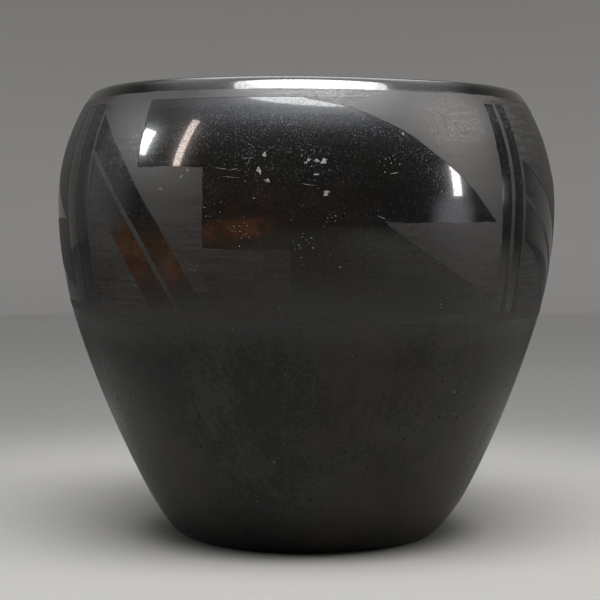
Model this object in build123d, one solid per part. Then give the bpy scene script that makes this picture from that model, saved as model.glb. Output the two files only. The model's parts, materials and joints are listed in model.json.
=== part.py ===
"""Black-on-black pueblo jar: coiled clay wall, burnished slip coat and a painted band of matte slip."""
from collections import namedtuple
from math import asin, cos, degrees, hypot, radians, sin
import os

from build123d import *

# All lengths are millimetres and all angles degrees. The jar stands on z = 0 with its axis on Z.

# Wall outline. The clay's outer face is a chain of tangent arcs running down and up from the widest girth.
# Each angle is how much further the face tips before the next arc takes over.
GIRTH_DIAMETER = 113.5
BELLY_RADIUS = 92.4
BELLY_ANGLE = 17.8
FLARE_RADIUS = 239.0
FLARE_ANGLE = 9.6
HEEL_RADIUS = 50.0
HEEL_ANGLE = 11.2
FOOT_EDGE_RADIUS = 5.7
SHOULDER_RADIUS = 43.9
SHOULDER_ANGLE = 33.2
WALL_THICKNESS = 5.0

# Moulded base
BASE_HEIGHT = 20.0
FLOOR_THICKNESS = 7.0
FLOOR_FILLET = 6.0
FOOT_RING_WIDTH = 9.0
FOOT_DISH_DEPTH = 1.2

# Coils. Every joint is a bevel that runs this far down from the outer face to the inner one.
WALL_COIL_COUNT = 6
RIM_COIL_HEIGHT = 8.5
JOINT_LAP = 5.0

# Burnished slip
SLIP_THICKNESS = 0.3
SLIP_FOOT_CLEARANCE = 0.6
SLIP_TURN_IN = 7.0

# Matte band
MATTE_THICKNESS = 0.15
MATTE_CLEARANCE = 0.02
BAND_BELOW_LIP = 1.4
BAND_HEIGHT = 46.5
BORDER_WIDTH = 1.7
LINE_WIDTH = 1.3
SLANT_LINE_WIDTH = 1.0

# Middle of each divider, turning anticlockwise from the front of the jar. The panels are laid out by eye.
DIVIDER_ANGLES = (-60.3, 48.9, 174.5)
# Polished stripe left on both sides of each divider's line.
STRIPE_WIDTHS = (4.9, 3.2, 3.9)
# How much lower the slants start in each panel, as a share of the field between the borders.
SLANT_DROP_SHARES = (0.0, 0.23, 0.08)

# Panel drawing. Points are shares across a panel, divider to divider, and up the field between the borders.
CORNER_SLANT_SHARES = ((0.085, 0.51), (0.225, 0.0))
FINE_SLANT_SHARES = ((0.063, 0.755), (0.293, 0.0))
STRIPE_SLANT_SHARES = ((0.075, 0.92), (0.354, 0.0))
STEP_EDGE_SHARES = (0.208, 0.355, 0.522)
STEP_LEVEL_SHARES = (1.0, 0.668, 0.291, 0.0)
WING_TOP_SHARES = (0.526, 1.0)
WING_MIDDLE_SHARES = (0.773, 0.80)
WING_TIP_SHARES = (0.950, 0.424)
WEDGE_START_SHARE = 0.696
WEDGE_END_SHARES = (0.964, 0.065)

# An arc of the wall's section: its centre, its radius, and the lean of its normal at the low and high ends.
Arc = namedtuple("Arc", "r z radius low high")
# Two leans closer than this are the same.
TOLERANCE = 1e-6


def wall_arcs():
    """Chain the outer arcs from the foot edge, at lean -90, up to the lip."""
    heel_start = BELLY_ANGLE + FLARE_ANGLE
    foot_start = heel_start + HEEL_ANGLE
    downward = (
        (BELLY_RADIUS, 0.0, BELLY_ANGLE),
        (FLARE_RADIUS, BELLY_ANGLE, heel_start),
        (HEEL_RADIUS, heel_start, foot_start),
        (FOOT_EDGE_RADIUS, foot_start, 90.0),
    )
    girth_height = sum(radius * (sin(radians(b)) - sin(radians(a))) for radius, a, b in downward)
    r, z = GIRTH_DIAMETER / 2, girth_height
    arcs = [Arc(r - SHOULDER_RADIUS, z, SHOULDER_RADIUS, 0.0, SHOULDER_ANGLE)]
    for radius, a, b in downward:
        centre_r = r - radius * cos(radians(a))
        centre_z = z + radius * sin(radians(a))
        arcs.insert(0, Arc(centre_r, centre_z, radius, -b, -a))
        r = centre_r + radius * cos(radians(b))
        z = centre_z - radius * sin(radians(b))
    return arcs


OUTER = wall_arcs()
# Inside, the heel's arc runs on down to the floor.
INNER = [OUTER[1]._replace(low=-90.0)] + OUTER[2:]


def lean_at(arcs, height, depth):
    """Lean of the face's normal at a height, this deep under the outer face."""
    for arc in arcs:
        rise = (height - arc.z) / (arc.radius - depth)
        if abs(rise) <= 1:
            lean = degrees(asin(rise))
            if arc.low - TOLERANCE <= lean <= arc.high + TOLERANCE:
                return lean
    raise ValueError(f"no wall at height {height:.2f}")


def face_point(arcs, lean, depth):
    """Radius and height where the face's normal has this lean, this deep under the outer face."""
    arc = next(arc for arc in arcs if arc.low - TOLERANCE <= lean <= arc.high + TOLERANCE)
    reach = arc.radius - depth
    return arc.r + reach * cos(radians(lean)), arc.z + reach * sin(radians(lean))


def face_edges(arcs, low, high, depth):
    """Edges of the face between two leans, this deep under the outer face."""
    edges = []
    for arc in arcs:
        start, end = max(low, arc.low), min(high, arc.high)
        if end - start > TOLERANCE:
            edges.append(CenterArc((arc.r, arc.z), arc.radius - depth, start, end - start))
    return edges


def section(edges):
    """Closed edges in radius and height, as a face standing in the XZ plane."""
    return make_face(Plane.XZ * (Curve() + edges))


LIP_LEAN = SHOULDER_ANGLE
LIP_OUTER = face_point(OUTER, LIP_LEAN, 0)
LIP_CENTRE = face_point(OUTER, LIP_LEAN, WALL_THICKNESS / 2)


def joint_heights():
    """Heights of the coil joints on the outer face, evenly spaced from the base to the rim coil."""
    top = LIP_OUTER[1] - RIM_COIL_HEIGHT
    rise = (top - BASE_HEIGHT) / WALL_COIL_COUNT
    return [BASE_HEIGHT + rise * i for i in range(WALL_COIL_COUNT + 1)]


def joint(height):
    """Outer and inner ends of the bevelled joint at a height, each as a lean and a point."""
    outer = lean_at(OUTER, height, 0)
    inner = lean_at(INNER, height - JOINT_LAP, WALL_THICKNESS)
    return (outer, face_point(OUTER, outer, 0)), (inner, face_point(INNER, inner, WALL_THICKNESS))


def moulded_base():
    """Foot ring, dished underside, thick floor and the start of the wall."""
    (outer_lean, outer_point), (inner_lean, inner_point) = joint(joint_heights()[0])
    floor_lean = lean_at(INNER, FLOOR_THICKNESS, WALL_THICKNESS)
    floor_corner = face_point(INNER, floor_lean, WALL_THICKNESS)
    foot_radius = face_point(OUTER, -90.0, 0)[0]
    dish_radius = foot_radius - FOOT_RING_WIDTH
    edges = [
        *face_edges(OUTER, -90.0, outer_lean, 0),
        Line(outer_point, inner_point),
        *face_edges(INNER, floor_lean, inner_lean, WALL_THICKNESS),
        Line(floor_corner, (0, FLOOR_THICKNESS)),
        Line((0, FLOOR_THICKNESS), (0, FOOT_DISH_DEPTH)),
        TangentArc((0, FOOT_DISH_DEPTH), (dish_radius, 0), tangent=(1, 0)),
        Line((dish_radius, 0), (foot_radius, 0)),
    ]
    bowl = revolve(section(edges), Axis.Z)
    rings = bowl.edges().filter_by(GeomType.CIRCLE)
    floor_ring = rings.sort_by_distance((floor_corner[0], 0, floor_corner[1]))[0]
    return fillet(floor_ring, FLOOR_FILLET)


def wall_coil(low_height, high_height):
    """Ring of clay between two bevelled joints."""
    (low_lean, low_outer), (low_inner_lean, low_inner) = joint(low_height)
    (high_lean, high_outer), (high_inner_lean, high_inner) = joint(high_height)
    edges = [
        *face_edges(OUTER, low_lean, high_lean, 0),
        Line(high_outer, high_inner),
        *face_edges(INNER, low_inner_lean, high_inner_lean, WALL_THICKNESS),
        Line(low_inner, low_outer),
    ]
    return revolve(section(edges), Axis.Z)


def rim_coil():
    """Top coil, closed by the full round of the lip."""
    (low_lean, low_outer), (low_inner_lean, low_inner) = joint(joint_heights()[-1])
    edges = [
        *face_edges(OUTER, low_lean, LIP_LEAN, 0),
        CenterArc(LIP_CENTRE, WALL_THICKNESS / 2, LIP_LEAN, 180),
        *face_edges(INNER, low_inner_lean, LIP_LEAN, WALL_THICKNESS),
        Line(low_inner, low_outer),
    ]
    return revolve(section(edges), Axis.Z)


def slip_coat():
    """Skin from just above the foot, up the outside, over the lip and a little way down the inside."""
    foot_lean = lean_at(OUTER, SLIP_FOOT_CLEARANCE, -SLIP_THICKNESS)
    turn_lean = lean_at(INNER, LIP_CENTRE[1] - SLIP_TURN_IN, WALL_THICKNESS)
    inside = WALL_THICKNESS + SLIP_THICKNESS
    edges = [
        *face_edges(OUTER, foot_lean, LIP_LEAN, -SLIP_THICKNESS),
        CenterArc(LIP_CENTRE, WALL_THICKNESS / 2 + SLIP_THICKNESS, LIP_LEAN, 180),
        *face_edges(INNER, turn_lean, LIP_LEAN, inside),
        Line(face_point(INNER, turn_lean, inside), face_point(INNER, turn_lean, WALL_THICKNESS)),
        *face_edges(INNER, turn_lean, LIP_LEAN, WALL_THICKNESS),
        CenterArc(LIP_CENTRE, WALL_THICKNESS / 2, LIP_LEAN, 180),
        *face_edges(OUTER, foot_lean, LIP_LEAN, 0),
        Line(face_point(OUTER, foot_lean, 0), face_point(OUTER, foot_lean, -SLIP_THICKNESS)),
    ]
    return revolve(section(edges), Axis.Z)


BAND_TOP = LIP_OUTER[1] - BAND_BELOW_LIP
BAND_BOTTOM = BAND_TOP - BAND_HEIGHT
FIELD_TOP = BAND_TOP - BORDER_WIDTH
FIELD_BOTTOM = BAND_BOTTOM + BORDER_WIDTH
# How far the underside of the paint lies outside the clay.
MATTE_SEAT = SLIP_THICKNESS + MATTE_CLEARANCE


def matte_patch(low_height, high_height, start=0.0, end=360.0):
    """Matte slip between two heights and two angles from the front of the jar."""
    under, over = -MATTE_SEAT, -MATTE_SEAT - MATTE_THICKNESS
    low, high = lean_at(OUTER, low_height, under), lean_at(OUTER, high_height, under)
    edges = [
        *face_edges(OUTER, low, high, over),
        Line(face_point(OUTER, high, over), face_point(OUTER, high, under)),
        *face_edges(OUTER, low, high, under),
        Line(face_point(OUTER, low, under), face_point(OUTER, low, over)),
    ]
    return revolve(Rot(0, 0, start - 90) * section(edges), Axis.Z, revolution_arc=end - start)


class Panel:
    """One painted panel, from the middle of its left divider to the middle of the next one."""

    REACH = 2 * GIRTH_DIAMETER

    def __init__(self, left, right, left_stripe, right_stripe, slant_drop):
        """Take the angle and stripe width of both dividers and how much lower the slants start."""
        self.left, self.right = left, right
        self.slant_drop = slant_drop
        self.middle = (left + right) / 2
        across, out = cos(radians(self.middle)), sin(radians(self.middle))
        # The drawing plane looks at the panel square on: its x runs to the right and its y up.
        self.plane = Plane((0, 0, 0), x_dir=(across, out, 0), z_dir=(out, -across, 0))
        per_degree = radians(GIRTH_DIAMETER / 2)
        self.line = LINE_WIDTH / per_degree
        self.inner_left = left + self.line / 2 + left_stripe / per_degree + self.line
        self.inner_right = right - self.line / 2 - right_stripe / per_degree

    def angle(self, share):
        """Angle from the front of the jar at a share across the panel."""
        return self.left + share * (self.right - self.left)

    @staticmethod
    def height(share):
        """Height at a share up the field."""
        return FIELD_BOTTOM + share * (FIELD_TOP - FIELD_BOTTOM)

    def drawn(self, point):
        """Where a drawing point falls on the panel's drawing plane."""
        lean = lean_at(OUTER, self.height(point[1]), -MATTE_SEAT)
        radius, height = face_point(OUTER, lean, -MATTE_SEAT)
        offset = radians(self.angle(point[0]) - self.middle)
        return radius * sin(offset), height

    def prism(self, sketch):
        """Carry a sketch on the drawing plane outwards through the band."""
        return extrude(self.plane * sketch, self.REACH, dir=self.plane.z_dir)

    def strip(self, ends, near, far):
        """Prism along a straight stroke, between two distances measured down to its lower left."""
        (x0, z0), (x1, z1) = (self.drawn(point) for point in ends)
        length = hypot(x1 - x0, z1 - z0)
        along_x, along_z = (x1 - x0) / length, (z1 - z0) / length
        start = x0 - along_x * self.REACH, z0 - along_z * self.REACH
        end = x1 + along_x * self.REACH, z1 + along_z * self.REACH
        corners = [
            (start[0] + along_z * near, start[1] - along_x * near),
            (end[0] + along_z * near, end[1] - along_x * near),
            (end[0] + along_z * far, end[1] - along_x * far),
            (start[0] + along_z * far, start[1] - along_x * far),
        ]
        return self.prism(Polygon(*corners, align=None))

    def lowered(self, ends):
        """A slant with its upper end dropped by this panel's amount."""
        (across, up), foot = ends
        return (across, up - self.slant_drop), foot

    def whole_field(self):
        """Everything inside the dividers and borders, ready to be cut down."""
        return matte_patch(FIELD_BOTTOM, FIELD_TOP, self.inner_left, self.inner_right)

    def divider_line(self):
        """Thin line down the middle of the left divider."""
        return matte_patch(FIELD_BOTTOM, FIELD_TOP, self.left - self.line / 2, self.left + self.line / 2)

    def edge_line(self):
        """Thin line that closes the left divider."""
        return matte_patch(FIELD_BOTTOM, FIELD_TOP, self.inner_left - self.line, self.inner_left)

    def corner_field(self):
        """Triangle in the lower left corner, under the slants."""
        return self.whole_field() & self.strip(self.lowered(CORNER_SLANT_SHARES), 0, self.REACH)

    def slant_line(self):
        """Thin line that parts the two slanted stripes."""
        half = SLANT_LINE_WIDTH / 2
        return self.whole_field() & self.strip(self.lowered(FINE_SLANT_SHARES), -half, half)

    def step_field(self):
        """Field between the slanted stripes and the three steps."""
        levels = [self.height(share) for share in STEP_LEVEL_SHARES]
        field = None
        for edge, high, low in zip(STEP_EDGE_SHARES, levels, levels[1:]):
            step = matte_patch(low, high, self.inner_left, self.angle(edge))
            field = step if field is None else field + step
        return field - self.strip(self.lowered(STRIPE_SLANT_SHARES), 0, self.REACH)

    def wing_field(self):
        """Field above the curved wing."""
        points = [self.drawn(point) for point in (WING_TOP_SHARES, WING_MIDDLE_SHARES, WING_TIP_SHARES)]
        curve = ThreePointArc(*points)
        wing = Pos(curve.arc_center) * Circle(curve.radius)
        tip_height = self.height(WING_TIP_SHARES[1])
        field = matte_patch(tip_height, FIELD_TOP, self.angle(WING_TOP_SHARES[0]), self.inner_right)
        return field - self.prism(wing)

    def wedge_field(self):
        """Wedge under the tip of the wing."""
        tip_height = self.height(WING_TIP_SHARES[1])
        wedge = matte_patch(FIELD_BOTTOM, tip_height, self.angle(WEDGE_START_SHARE), self.inner_right)
        return wedge - self.strip(((WEDGE_START_SHARE, WING_TIP_SHARES[1]), WEDGE_END_SHARES), 0, self.REACH)

    def pieces(self):
        """Name and solid of each painted piece."""
        return {
            "divider_line": self.divider_line(),
            "edge_line": self.edge_line(),
            "corner_field": self.corner_field(),
            "slant_line": self.slant_line(),
            "step_field": self.step_field(),
            "wing_field": self.wing_field(),
            "wedge_field": self.wedge_field(),
        }


def jar():
    """Name and solid of every piece, from the foot up and from the clay out."""
    heights = joint_heights()
    nodes = {"moulded_base": moulded_base()}
    for i, (low, high) in enumerate(zip(heights, heights[1:]), start=1):
        nodes[f"wall_coil_{i}"] = wall_coil(low, high)
    nodes["rim_coil"] = rim_coil()
    nodes["slip_coat"] = slip_coat()
    nodes["lower_border"] = matte_patch(BAND_BOTTOM, FIELD_BOTTOM)
    nodes["upper_border"] = matte_patch(FIELD_TOP, BAND_TOP)
    ends = DIVIDER_ANGLES[1:] + (DIVIDER_ANGLES[0] + 360,)
    end_stripes = STRIPE_WIDTHS[1:] + STRIPE_WIDTHS[:1]
    layout = zip(DIVIDER_ANGLES, ends, STRIPE_WIDTHS, end_stripes, SLANT_DROP_SHARES)
    for i, panel in enumerate(layout, start=1):
        for name, solid in Panel(*panel).pieces().items():
            nodes[f"panel_{i}_{name}"] = solid
    return nodes


if __name__ == "__main__":
    os.makedirs("parts", exist_ok=True)
    for node, solid in jar().items():
        export_step(solid, f"parts/{node}.step")
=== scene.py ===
"""Looks of a black-on-black pueblo jar: smudged clay, burnished slip and a painted matte band.

The jar stands on z = 0 with its axis on Z, in metres, in the frame of its CAD pieces. Angles round the jar
start at its front, on -Y, and grow towards +X. Every piece is worked out as whole numpy arrays from the
wall's outline, and all of them are then bent by the same hand-made unevenness, so that neighbours keep
touching.
"""
import json
import logging
import math
from collections.abc import Callable, Sequence
from dataclasses import dataclass
from enum import Enum
from typing import NamedTuple

import bpy
import numpy as np
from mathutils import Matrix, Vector

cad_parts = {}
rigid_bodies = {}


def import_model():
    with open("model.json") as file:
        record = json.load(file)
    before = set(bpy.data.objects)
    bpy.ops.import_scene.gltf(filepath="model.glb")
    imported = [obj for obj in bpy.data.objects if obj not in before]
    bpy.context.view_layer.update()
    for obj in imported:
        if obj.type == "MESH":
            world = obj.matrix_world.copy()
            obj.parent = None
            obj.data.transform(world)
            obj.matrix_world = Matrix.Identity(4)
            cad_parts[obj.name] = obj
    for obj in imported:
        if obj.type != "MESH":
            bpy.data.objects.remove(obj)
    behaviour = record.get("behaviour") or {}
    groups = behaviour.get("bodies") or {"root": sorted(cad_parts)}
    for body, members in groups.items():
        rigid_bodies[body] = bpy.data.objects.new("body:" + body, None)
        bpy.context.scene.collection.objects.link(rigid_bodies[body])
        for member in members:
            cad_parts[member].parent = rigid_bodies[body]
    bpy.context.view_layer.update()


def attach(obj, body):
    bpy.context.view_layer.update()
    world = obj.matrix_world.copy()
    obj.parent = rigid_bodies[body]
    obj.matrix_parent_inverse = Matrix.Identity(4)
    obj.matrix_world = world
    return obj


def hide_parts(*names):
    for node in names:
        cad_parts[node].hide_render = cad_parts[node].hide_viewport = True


LOG = logging.getLogger("pueblo_jar")
MM = 0.001
TINY = 1e-9

Colour = tuple[float, float, float]
Share = tuple[float, float]
Ramp = tuple[float, float]
Edge = Callable[[np.ndarray], np.ndarray]
Socket = bpy.types.NodeSocket
Tone = Colour | Socket
Inputs = dict[str | int, object]


class Slot(Enum):
    """The record's material slots."""

    SMUDGED_CLAY = "smudged_clay"
    BURNISHED_SLIP = "burnished_slip"
    MATTE_SLIP = "matte_slip"


class LampShape(Enum):
    """Outlines a studio lamp may have."""

    RECTANGLE = "RECTANGLE"
    ELLIPSE = "ELLIPSE"


# The wall and its unevenness


def even_angles(count: int) -> np.ndarray:
    """Angles of even steps all the way round the jar."""
    return np.arange(count) * (math.tau / count)


def around(radii: np.ndarray | float, angles: np.ndarray | float, heights: np.ndarray | float) -> np.ndarray:
    """Place points round the jar's axis: x is radius times sine of the angle, y is minus radius times cosine.

    Args:
        radii: Distances from the axis.
        angles: Angles from the front.
        heights: Heights.

    Returns:
        Points on a last axis of three, in the shape that the arguments broadcast to.
    """
    return np.stack(np.broadcast_arrays(radii * np.sin(angles), -radii * np.cos(angles), heights), axis=-1)


class Arc(NamedTuple):
    """An arc of the wall's section: its centre, its radius, and the lean of its normal at both ends."""

    r: float
    z: float
    radius: float
    low: float
    high: float

    def covers(self, leans: np.ndarray) -> np.ndarray:
        """Whether each lean belongs to the arc."""
        return (leans >= self.low - TINY) & (leans <= self.high + TINY)

    def points(self, leans: np.ndarray, depth: float) -> np.ndarray:
        """Find points along the arc: its centre plus its radius, less the depth, along the normal.

        Args:
            leans: Leans of the normal.
            depth: How deep the points lie under the arc; below zero is outside it.

        Returns:
            Radius and height of each point, on a last axis of two.
        """
        reach = self.radius - depth
        return np.stack([self.r + reach * np.cos(leans), self.z + reach * np.sin(leans)], axis=-1)


@dataclass(frozen=True)
class WallOutline:
    """The clay's section: tangent arcs from the foot edge to the lip, and the faces parallel to them."""

    girth_radius: float = 56.75 * MM
    belly_radius: float = 92.4 * MM
    belly_angle: float = math.radians(17.8)
    flare_radius: float = 239.0 * MM
    flare_angle: float = math.radians(9.6)
    heel_radius: float = 50.0 * MM
    heel_angle: float = math.radians(11.2)
    foot_edge_radius: float = 5.7 * MM
    shoulder_radius: float = 43.9 * MM
    shoulder_angle: float = math.radians(33.2)
    wall: float = 5.0 * MM

    def outer(self) -> list[Arc]:
        """Chain the outer arcs from the foot edge, where the normal points down, up to the lip.

        Returns:
            The arcs in order from the foot. Each starts where the last one's normal left off.
        """
        heel_start = self.belly_angle + self.flare_angle
        foot_start = heel_start + self.heel_angle
        downward = (
            (self.belly_radius, 0.0, self.belly_angle),
            (self.flare_radius, self.belly_angle, heel_start),
            (self.heel_radius, heel_start, foot_start),
            (self.foot_edge_radius, foot_start, math.pi / 2),
        )
        z = sum(radius * (math.sin(b) - math.sin(a)) for radius, a, b in downward)
        r = self.girth_radius
        arcs = [Arc(r - self.shoulder_radius, z, self.shoulder_radius, 0.0, self.shoulder_angle)]
        for radius, a, b in downward:
            centre_r = r - radius * math.cos(a)
            centre_z = z + radius * math.sin(a)
            arcs.insert(0, Arc(centre_r, centre_z, radius, -b, -a))
            r = centre_r + radius * math.cos(b)
            z = centre_z - radius * math.sin(b)
        return arcs

    def inner(self) -> list[Arc]:
        """The same arcs for the inside, where the heel's arc runs on down to the floor."""
        arcs = self.outer()
        return [arcs[1]._replace(low=-math.pi / 2)] + arcs[2:]

    @staticmethod
    def lean_at(arcs: list[Arc], heights: np.ndarray | float, depth: float) -> np.ndarray:
        """Find the lean of the face's normal: the arcsine of the height over the arc's centre, by its radius.

        Args:
            arcs: The outer or inner arcs.
            heights: Heights on the face.
            depth: How deep the face lies under the clay's outside; below zero is outside it.

        Returns:
            The leans, in the shape of the heights.
        """
        heights = np.asarray(heights, float)
        leans = np.zeros_like(heights)
        for arc in arcs:
            rise = (heights - arc.z) / (arc.radius - depth)
            lean = np.arcsin(np.clip(rise, -1.0, 1.0))
            leans = np.where((np.abs(rise) <= 1.0) & arc.covers(lean), lean, leans)
        return leans

    @staticmethod
    def section_at(arcs: list[Arc], leans: np.ndarray | float, depth: float) -> np.ndarray:
        """Find points of a face, each on the arc that covers its lean.

        Args:
            arcs: The outer or inner arcs.
            leans: Leans of the normal.
            depth: How deep the face lies under the clay's outside.

        Returns:
            Radius and height of each point, on a last axis of two.
        """
        leans = np.asarray(leans, float)
        points = np.zeros((*leans.shape, 2))
        for arc in arcs:
            points = np.where(arc.covers(leans)[..., None], arc.points(leans, depth), points)
        return points

    @staticmethod
    def face(arcs: list[Arc], low: float, high: float, depth: float, step: float) -> np.ndarray:
        """Sample a face from one lean to another, evenly along each arc.

        Args:
            arcs: The outer or inner arcs.
            low: Lean at the start.
            high: Lean at the end.
            depth: How deep the face lies under the clay's outside.
            step: Longest distance between two points.

        Returns:
            Radius and height of each point, from low to high.
        """
        runs = []
        for arc in arcs:
            start, end = max(low, arc.low), min(high, arc.high)
            if end - start > TINY:
                count = 2 + int((arc.radius - depth) * (end - start) / step)
                runs.append(arc.points(np.linspace(start, end, count), depth))
        joined = np.concatenate(runs)
        apart = np.linalg.norm(np.diff(joined, axis=0), axis=1) > TINY
        return joined[np.concatenate([[True], apart])]

    def lip_outer(self) -> np.ndarray:
        """Radius and height where the outer face ends in the lip."""
        return self.section_at(self.outer(), self.shoulder_angle, 0.0)

    def lip_centre(self) -> np.ndarray:
        """Radius and height of the centre of the lip's round."""
        return self.section_at(self.outer(), self.shoulder_angle, self.wall / 2)

    def lip_round(self, radius: float, count: int) -> np.ndarray:
        """Sample the half circle over the lip, from the outer face to the inner one.

        Args:
            radius: Radius of the half circle.
            count: Number of points.

        Returns:
            Radius and height of each point.
        """
        half = Arc(*self.lip_centre(), radius, self.shoulder_angle, self.shoulder_angle + math.pi)
        return half.points(np.linspace(half.low, half.high, count), 0.0)


@dataclass(frozen=True)
class HandWork:
    """The unevenness of a jar built by hand: slow swells, a lip that rises and falls, and a slight lean.

    A swell has its lobes round the jar, its length up it and its amplitude; a lip wave has no length.
    """

    swells: tuple[tuple[int, float, float], ...] = (
        (2, 0.210, 0.16 * MM),
        (3, 0.130, 0.10 * MM),
        (5, 0.070, 0.050 * MM),
        (8, 0.044, 0.022 * MM),
        (13, 0.027, 0.010 * MM),
    )
    even_radius: float = 20.0 * MM
    even_height: float = 12.0 * MM
    lip_waves: tuple[tuple[int, float], ...] = (
        (1, 0.16 * MM),
        (2, 0.12 * MM),
        (3, 0.08 * MM),
        (7, 0.03 * MM),
    )
    lip_height: float = 101.0 * MM
    lip_power: int = 4
    lean: float = 0.0046
    lean_pivot: float = 71.0 * MM
    lean_start: float = 8.0 * MM
    seed: int = 11

    def bend(self, points: np.ndarray) -> np.ndarray:
        """Move points of the ideal jar to where the hand left them.

        Each swell adds amplitude times sin(lobes times angle + phase) times cos(2 pi height / length + phase)
        to the radius, and dies out towards the axis and the foot. Each lip wave adds to the height, growing
        with a power of the height. The lean shifts x in step with the height over the pivot.

        Args:
            points: Points on a last axis of three.

        Returns:
            The moved points, in the same shape.
        """
        chance = np.random.default_rng(self.seed)
        x, y, z = points[..., 0], points[..., 1], points[..., 2]
        angle = np.arctan2(x, -y)
        radius = np.hypot(x, y)
        swell = np.zeros_like(z)
        for lobes, length, amplitude in self.swells:
            turn, rise = chance.uniform(0.0, math.tau, 2)
            swell += amplitude * np.sin(lobes * angle + turn) * np.cos(math.tau * z / length + rise)
        swell *= np.clip(radius / self.even_radius, 0.0, 1.0) * np.clip(z / self.even_height, 0.0, 1.0)
        lift = np.zeros_like(z)
        for lobes, amplitude in self.lip_waves:
            lift += amplitude * np.sin(lobes * angle + chance.uniform(0.0, math.tau))
        bent = around(radius + swell, angle, z + lift * (z / self.lip_height) ** self.lip_power)
        bent[..., 0] += self.lean * (self.lean_pivot - z) * np.clip(z / self.lean_start, 0.0, 1.0)
        return bent


@dataclass(frozen=True)
class JarSurface:
    """The burnished outside as a function of angle and height, and solids turned about the jar's axis."""

    outline: WallOutline = WallOutline()
    hand: HandWork = HandWork()
    slip: float = 0.3 * MM

    def section(self, heights: np.ndarray | float) -> tuple[np.ndarray, np.ndarray]:
        """Find the section of the burnished surface.

        Args:
            heights: Heights on it.

        Returns:
            Radius and height of each point, on a last axis of two, and the lean of the normal there.
        """
        arcs = self.outline.outer()
        leans = self.outline.lean_at(arcs, heights, -self.slip)
        return self.outline.section_at(arcs, leans, -self.slip), leans

    def radius_at(self, heights: np.ndarray | float) -> np.ndarray:
        """Radius of the burnished surface at each height."""
        return self.section(heights)[0][..., 0]

    def points(self, angles: np.ndarray, heights: np.ndarray, lift: np.ndarray | float) -> np.ndarray:
        """Place points on the burnished surface or a little off it, along its normal.

        The section's point at each height, plus the lift along the normal, is carried round by the angle.

        Args:
            angles: Angles from the front.
            heights: Heights on the burnished surface.
            lift: How far out of the surface each point stands.

        Returns:
            Points on a last axis of three.
        """
        section, leans = self.section(heights)
        radii = section[..., 0] + lift * np.cos(leans)
        return self.hand.bend(around(radii, angles, section[..., 1] + lift * np.sin(leans)))

    def turned(self, radii: np.ndarray, heights: np.ndarray, columns: int) -> np.ndarray:
        """Carry a section round the axis.

        Args:
            radii: Radius of each section point, or one per section point and column.
            heights: Height of each section point.
            columns: Number of steps round the jar.

        Returns:
            Points as an array of section points by columns by three.
        """
        wide = radii if radii.ndim == 2 else radii[:, None]
        return self.hand.bend(around(wide, even_angles(columns), heights[:, None]))


# Meshes from grids


def grid_quads(rows: int, columns: int, wrap_rows: bool = False, wrap_columns: bool = False) -> np.ndarray:
    """Join a grid of points, row by row, with four-cornered faces.

    Each face takes a point, the next in its row, and the same two in the row above, so it faces out where
    columns run to the right and rows run up.

    Args:
        rows: Number of rows.
        columns: Number of points in a row.
        wrap_rows: Whether the last row joins the first.
        wrap_columns: Whether each row closes on itself.

    Returns:
        Corner numbers, four to a face.
    """
    row = np.arange(rows if wrap_rows else rows - 1)[:, None]
    column = np.arange(columns if wrap_columns else columns - 1)[None, :]
    above = (row + 1) % rows
    beside = (column + 1) % columns
    near, far = row * columns, above * columns
    return np.stack([near + column, near + beside, far + beside, far + column], axis=-1).reshape(-1, 4)


def slab_quads(rows: int, columns: int) -> np.ndarray:
    """Join an outer and an inner grid of the same size into a closed slab.

    The outer grid keeps its facing, the inner one is turned round, and a wall follows the rim.

    Args:
        rows: Number of rows in each grid.
        columns: Number of points in a row.

    Returns:
        Corner numbers, four to a face, with the inner grid numbered after the outer one.
    """
    outer = grid_quads(rows, columns)
    inner = outer[:, ::-1] + rows * columns
    number = np.arange(rows * columns).reshape(rows, columns)
    rim = np.concatenate([number[0, :-1], number[:-1, -1], number[-1, :0:-1], number[:0:-1, 0]])
    following = np.roll(rim, -1)
    below = rows * columns
    wall = np.stack([rim + below, following + below, following, rim], axis=-1)
    return np.concatenate([outer, inner, wall])


def mesh_object(name: str, points: np.ndarray, faces: np.ndarray, crease: float) -> bpy.types.Object:
    """Put a worked-out surface into the scene as a smooth mesh, with its points welded where they meet.

    Args:
        name: Name of the object.
        points: Points in any grid shape, on a last axis of three.
        faces: Corner numbers, four to a face.
        crease: Angle above which an edge stays sharp.

    Returns:
        The new object, at the origin.
    """
    flat = points.reshape(-1, 3)
    places, first, twin = np.unique(np.round(flat, 9), axis=0, return_index=True, return_inverse=True)
    order = np.argsort(first)
    rank = np.empty_like(order)
    rank[order] = np.arange(len(order))
    corners = rank[twin.reshape(-1)][faces]
    mesh = bpy.data.meshes.new(name)
    mesh.from_pydata(places[order].tolist(), [], [list(dict.fromkeys(face)) for face in corners.tolist()])
    mesh.validate()
    mesh.polygons.foreach_set("use_smooth", np.ones(len(mesh.polygons), bool))
    mesh.set_sharp_from_angle(angle=crease)
    made = bpy.data.objects.new(name, mesh)
    bpy.context.scene.collection.objects.link(made)
    return made


class SubAssembly:
    """What every group of pieces shares: putting a surface into the scene with its place and finish."""

    crease: float = math.radians(38.0)

    def add(
        self, name: str, points: np.ndarray, faces: np.ndarray, finish: bpy.types.Material, slot: Slot
    ) -> bpy.types.Object:
        """Make a piece that stands for the CAD node of its name, or rides on the jar if there is none.

        Args:
            name: Name of the piece.
            points: Its points.
            faces: Its faces.
            finish: Its material.
            slot: The record's slot that the finish belongs to. It is not used.

        Returns:
            The finished piece.
        """
        node = bpy.data.objects.get(name)
        if node is not None:
            name = f"{name}_dressed"
        piece = mesh_object(name, points, faces, self.crease)
        piece.data.materials.append(finish)
        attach(piece, "root")
        if node is not None:
            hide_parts(node.name)
        LOG.info("%s: %d points, %d faces", name, len(piece.data.vertices), len(piece.data.polygons))
        return piece


# Shader maths


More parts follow.
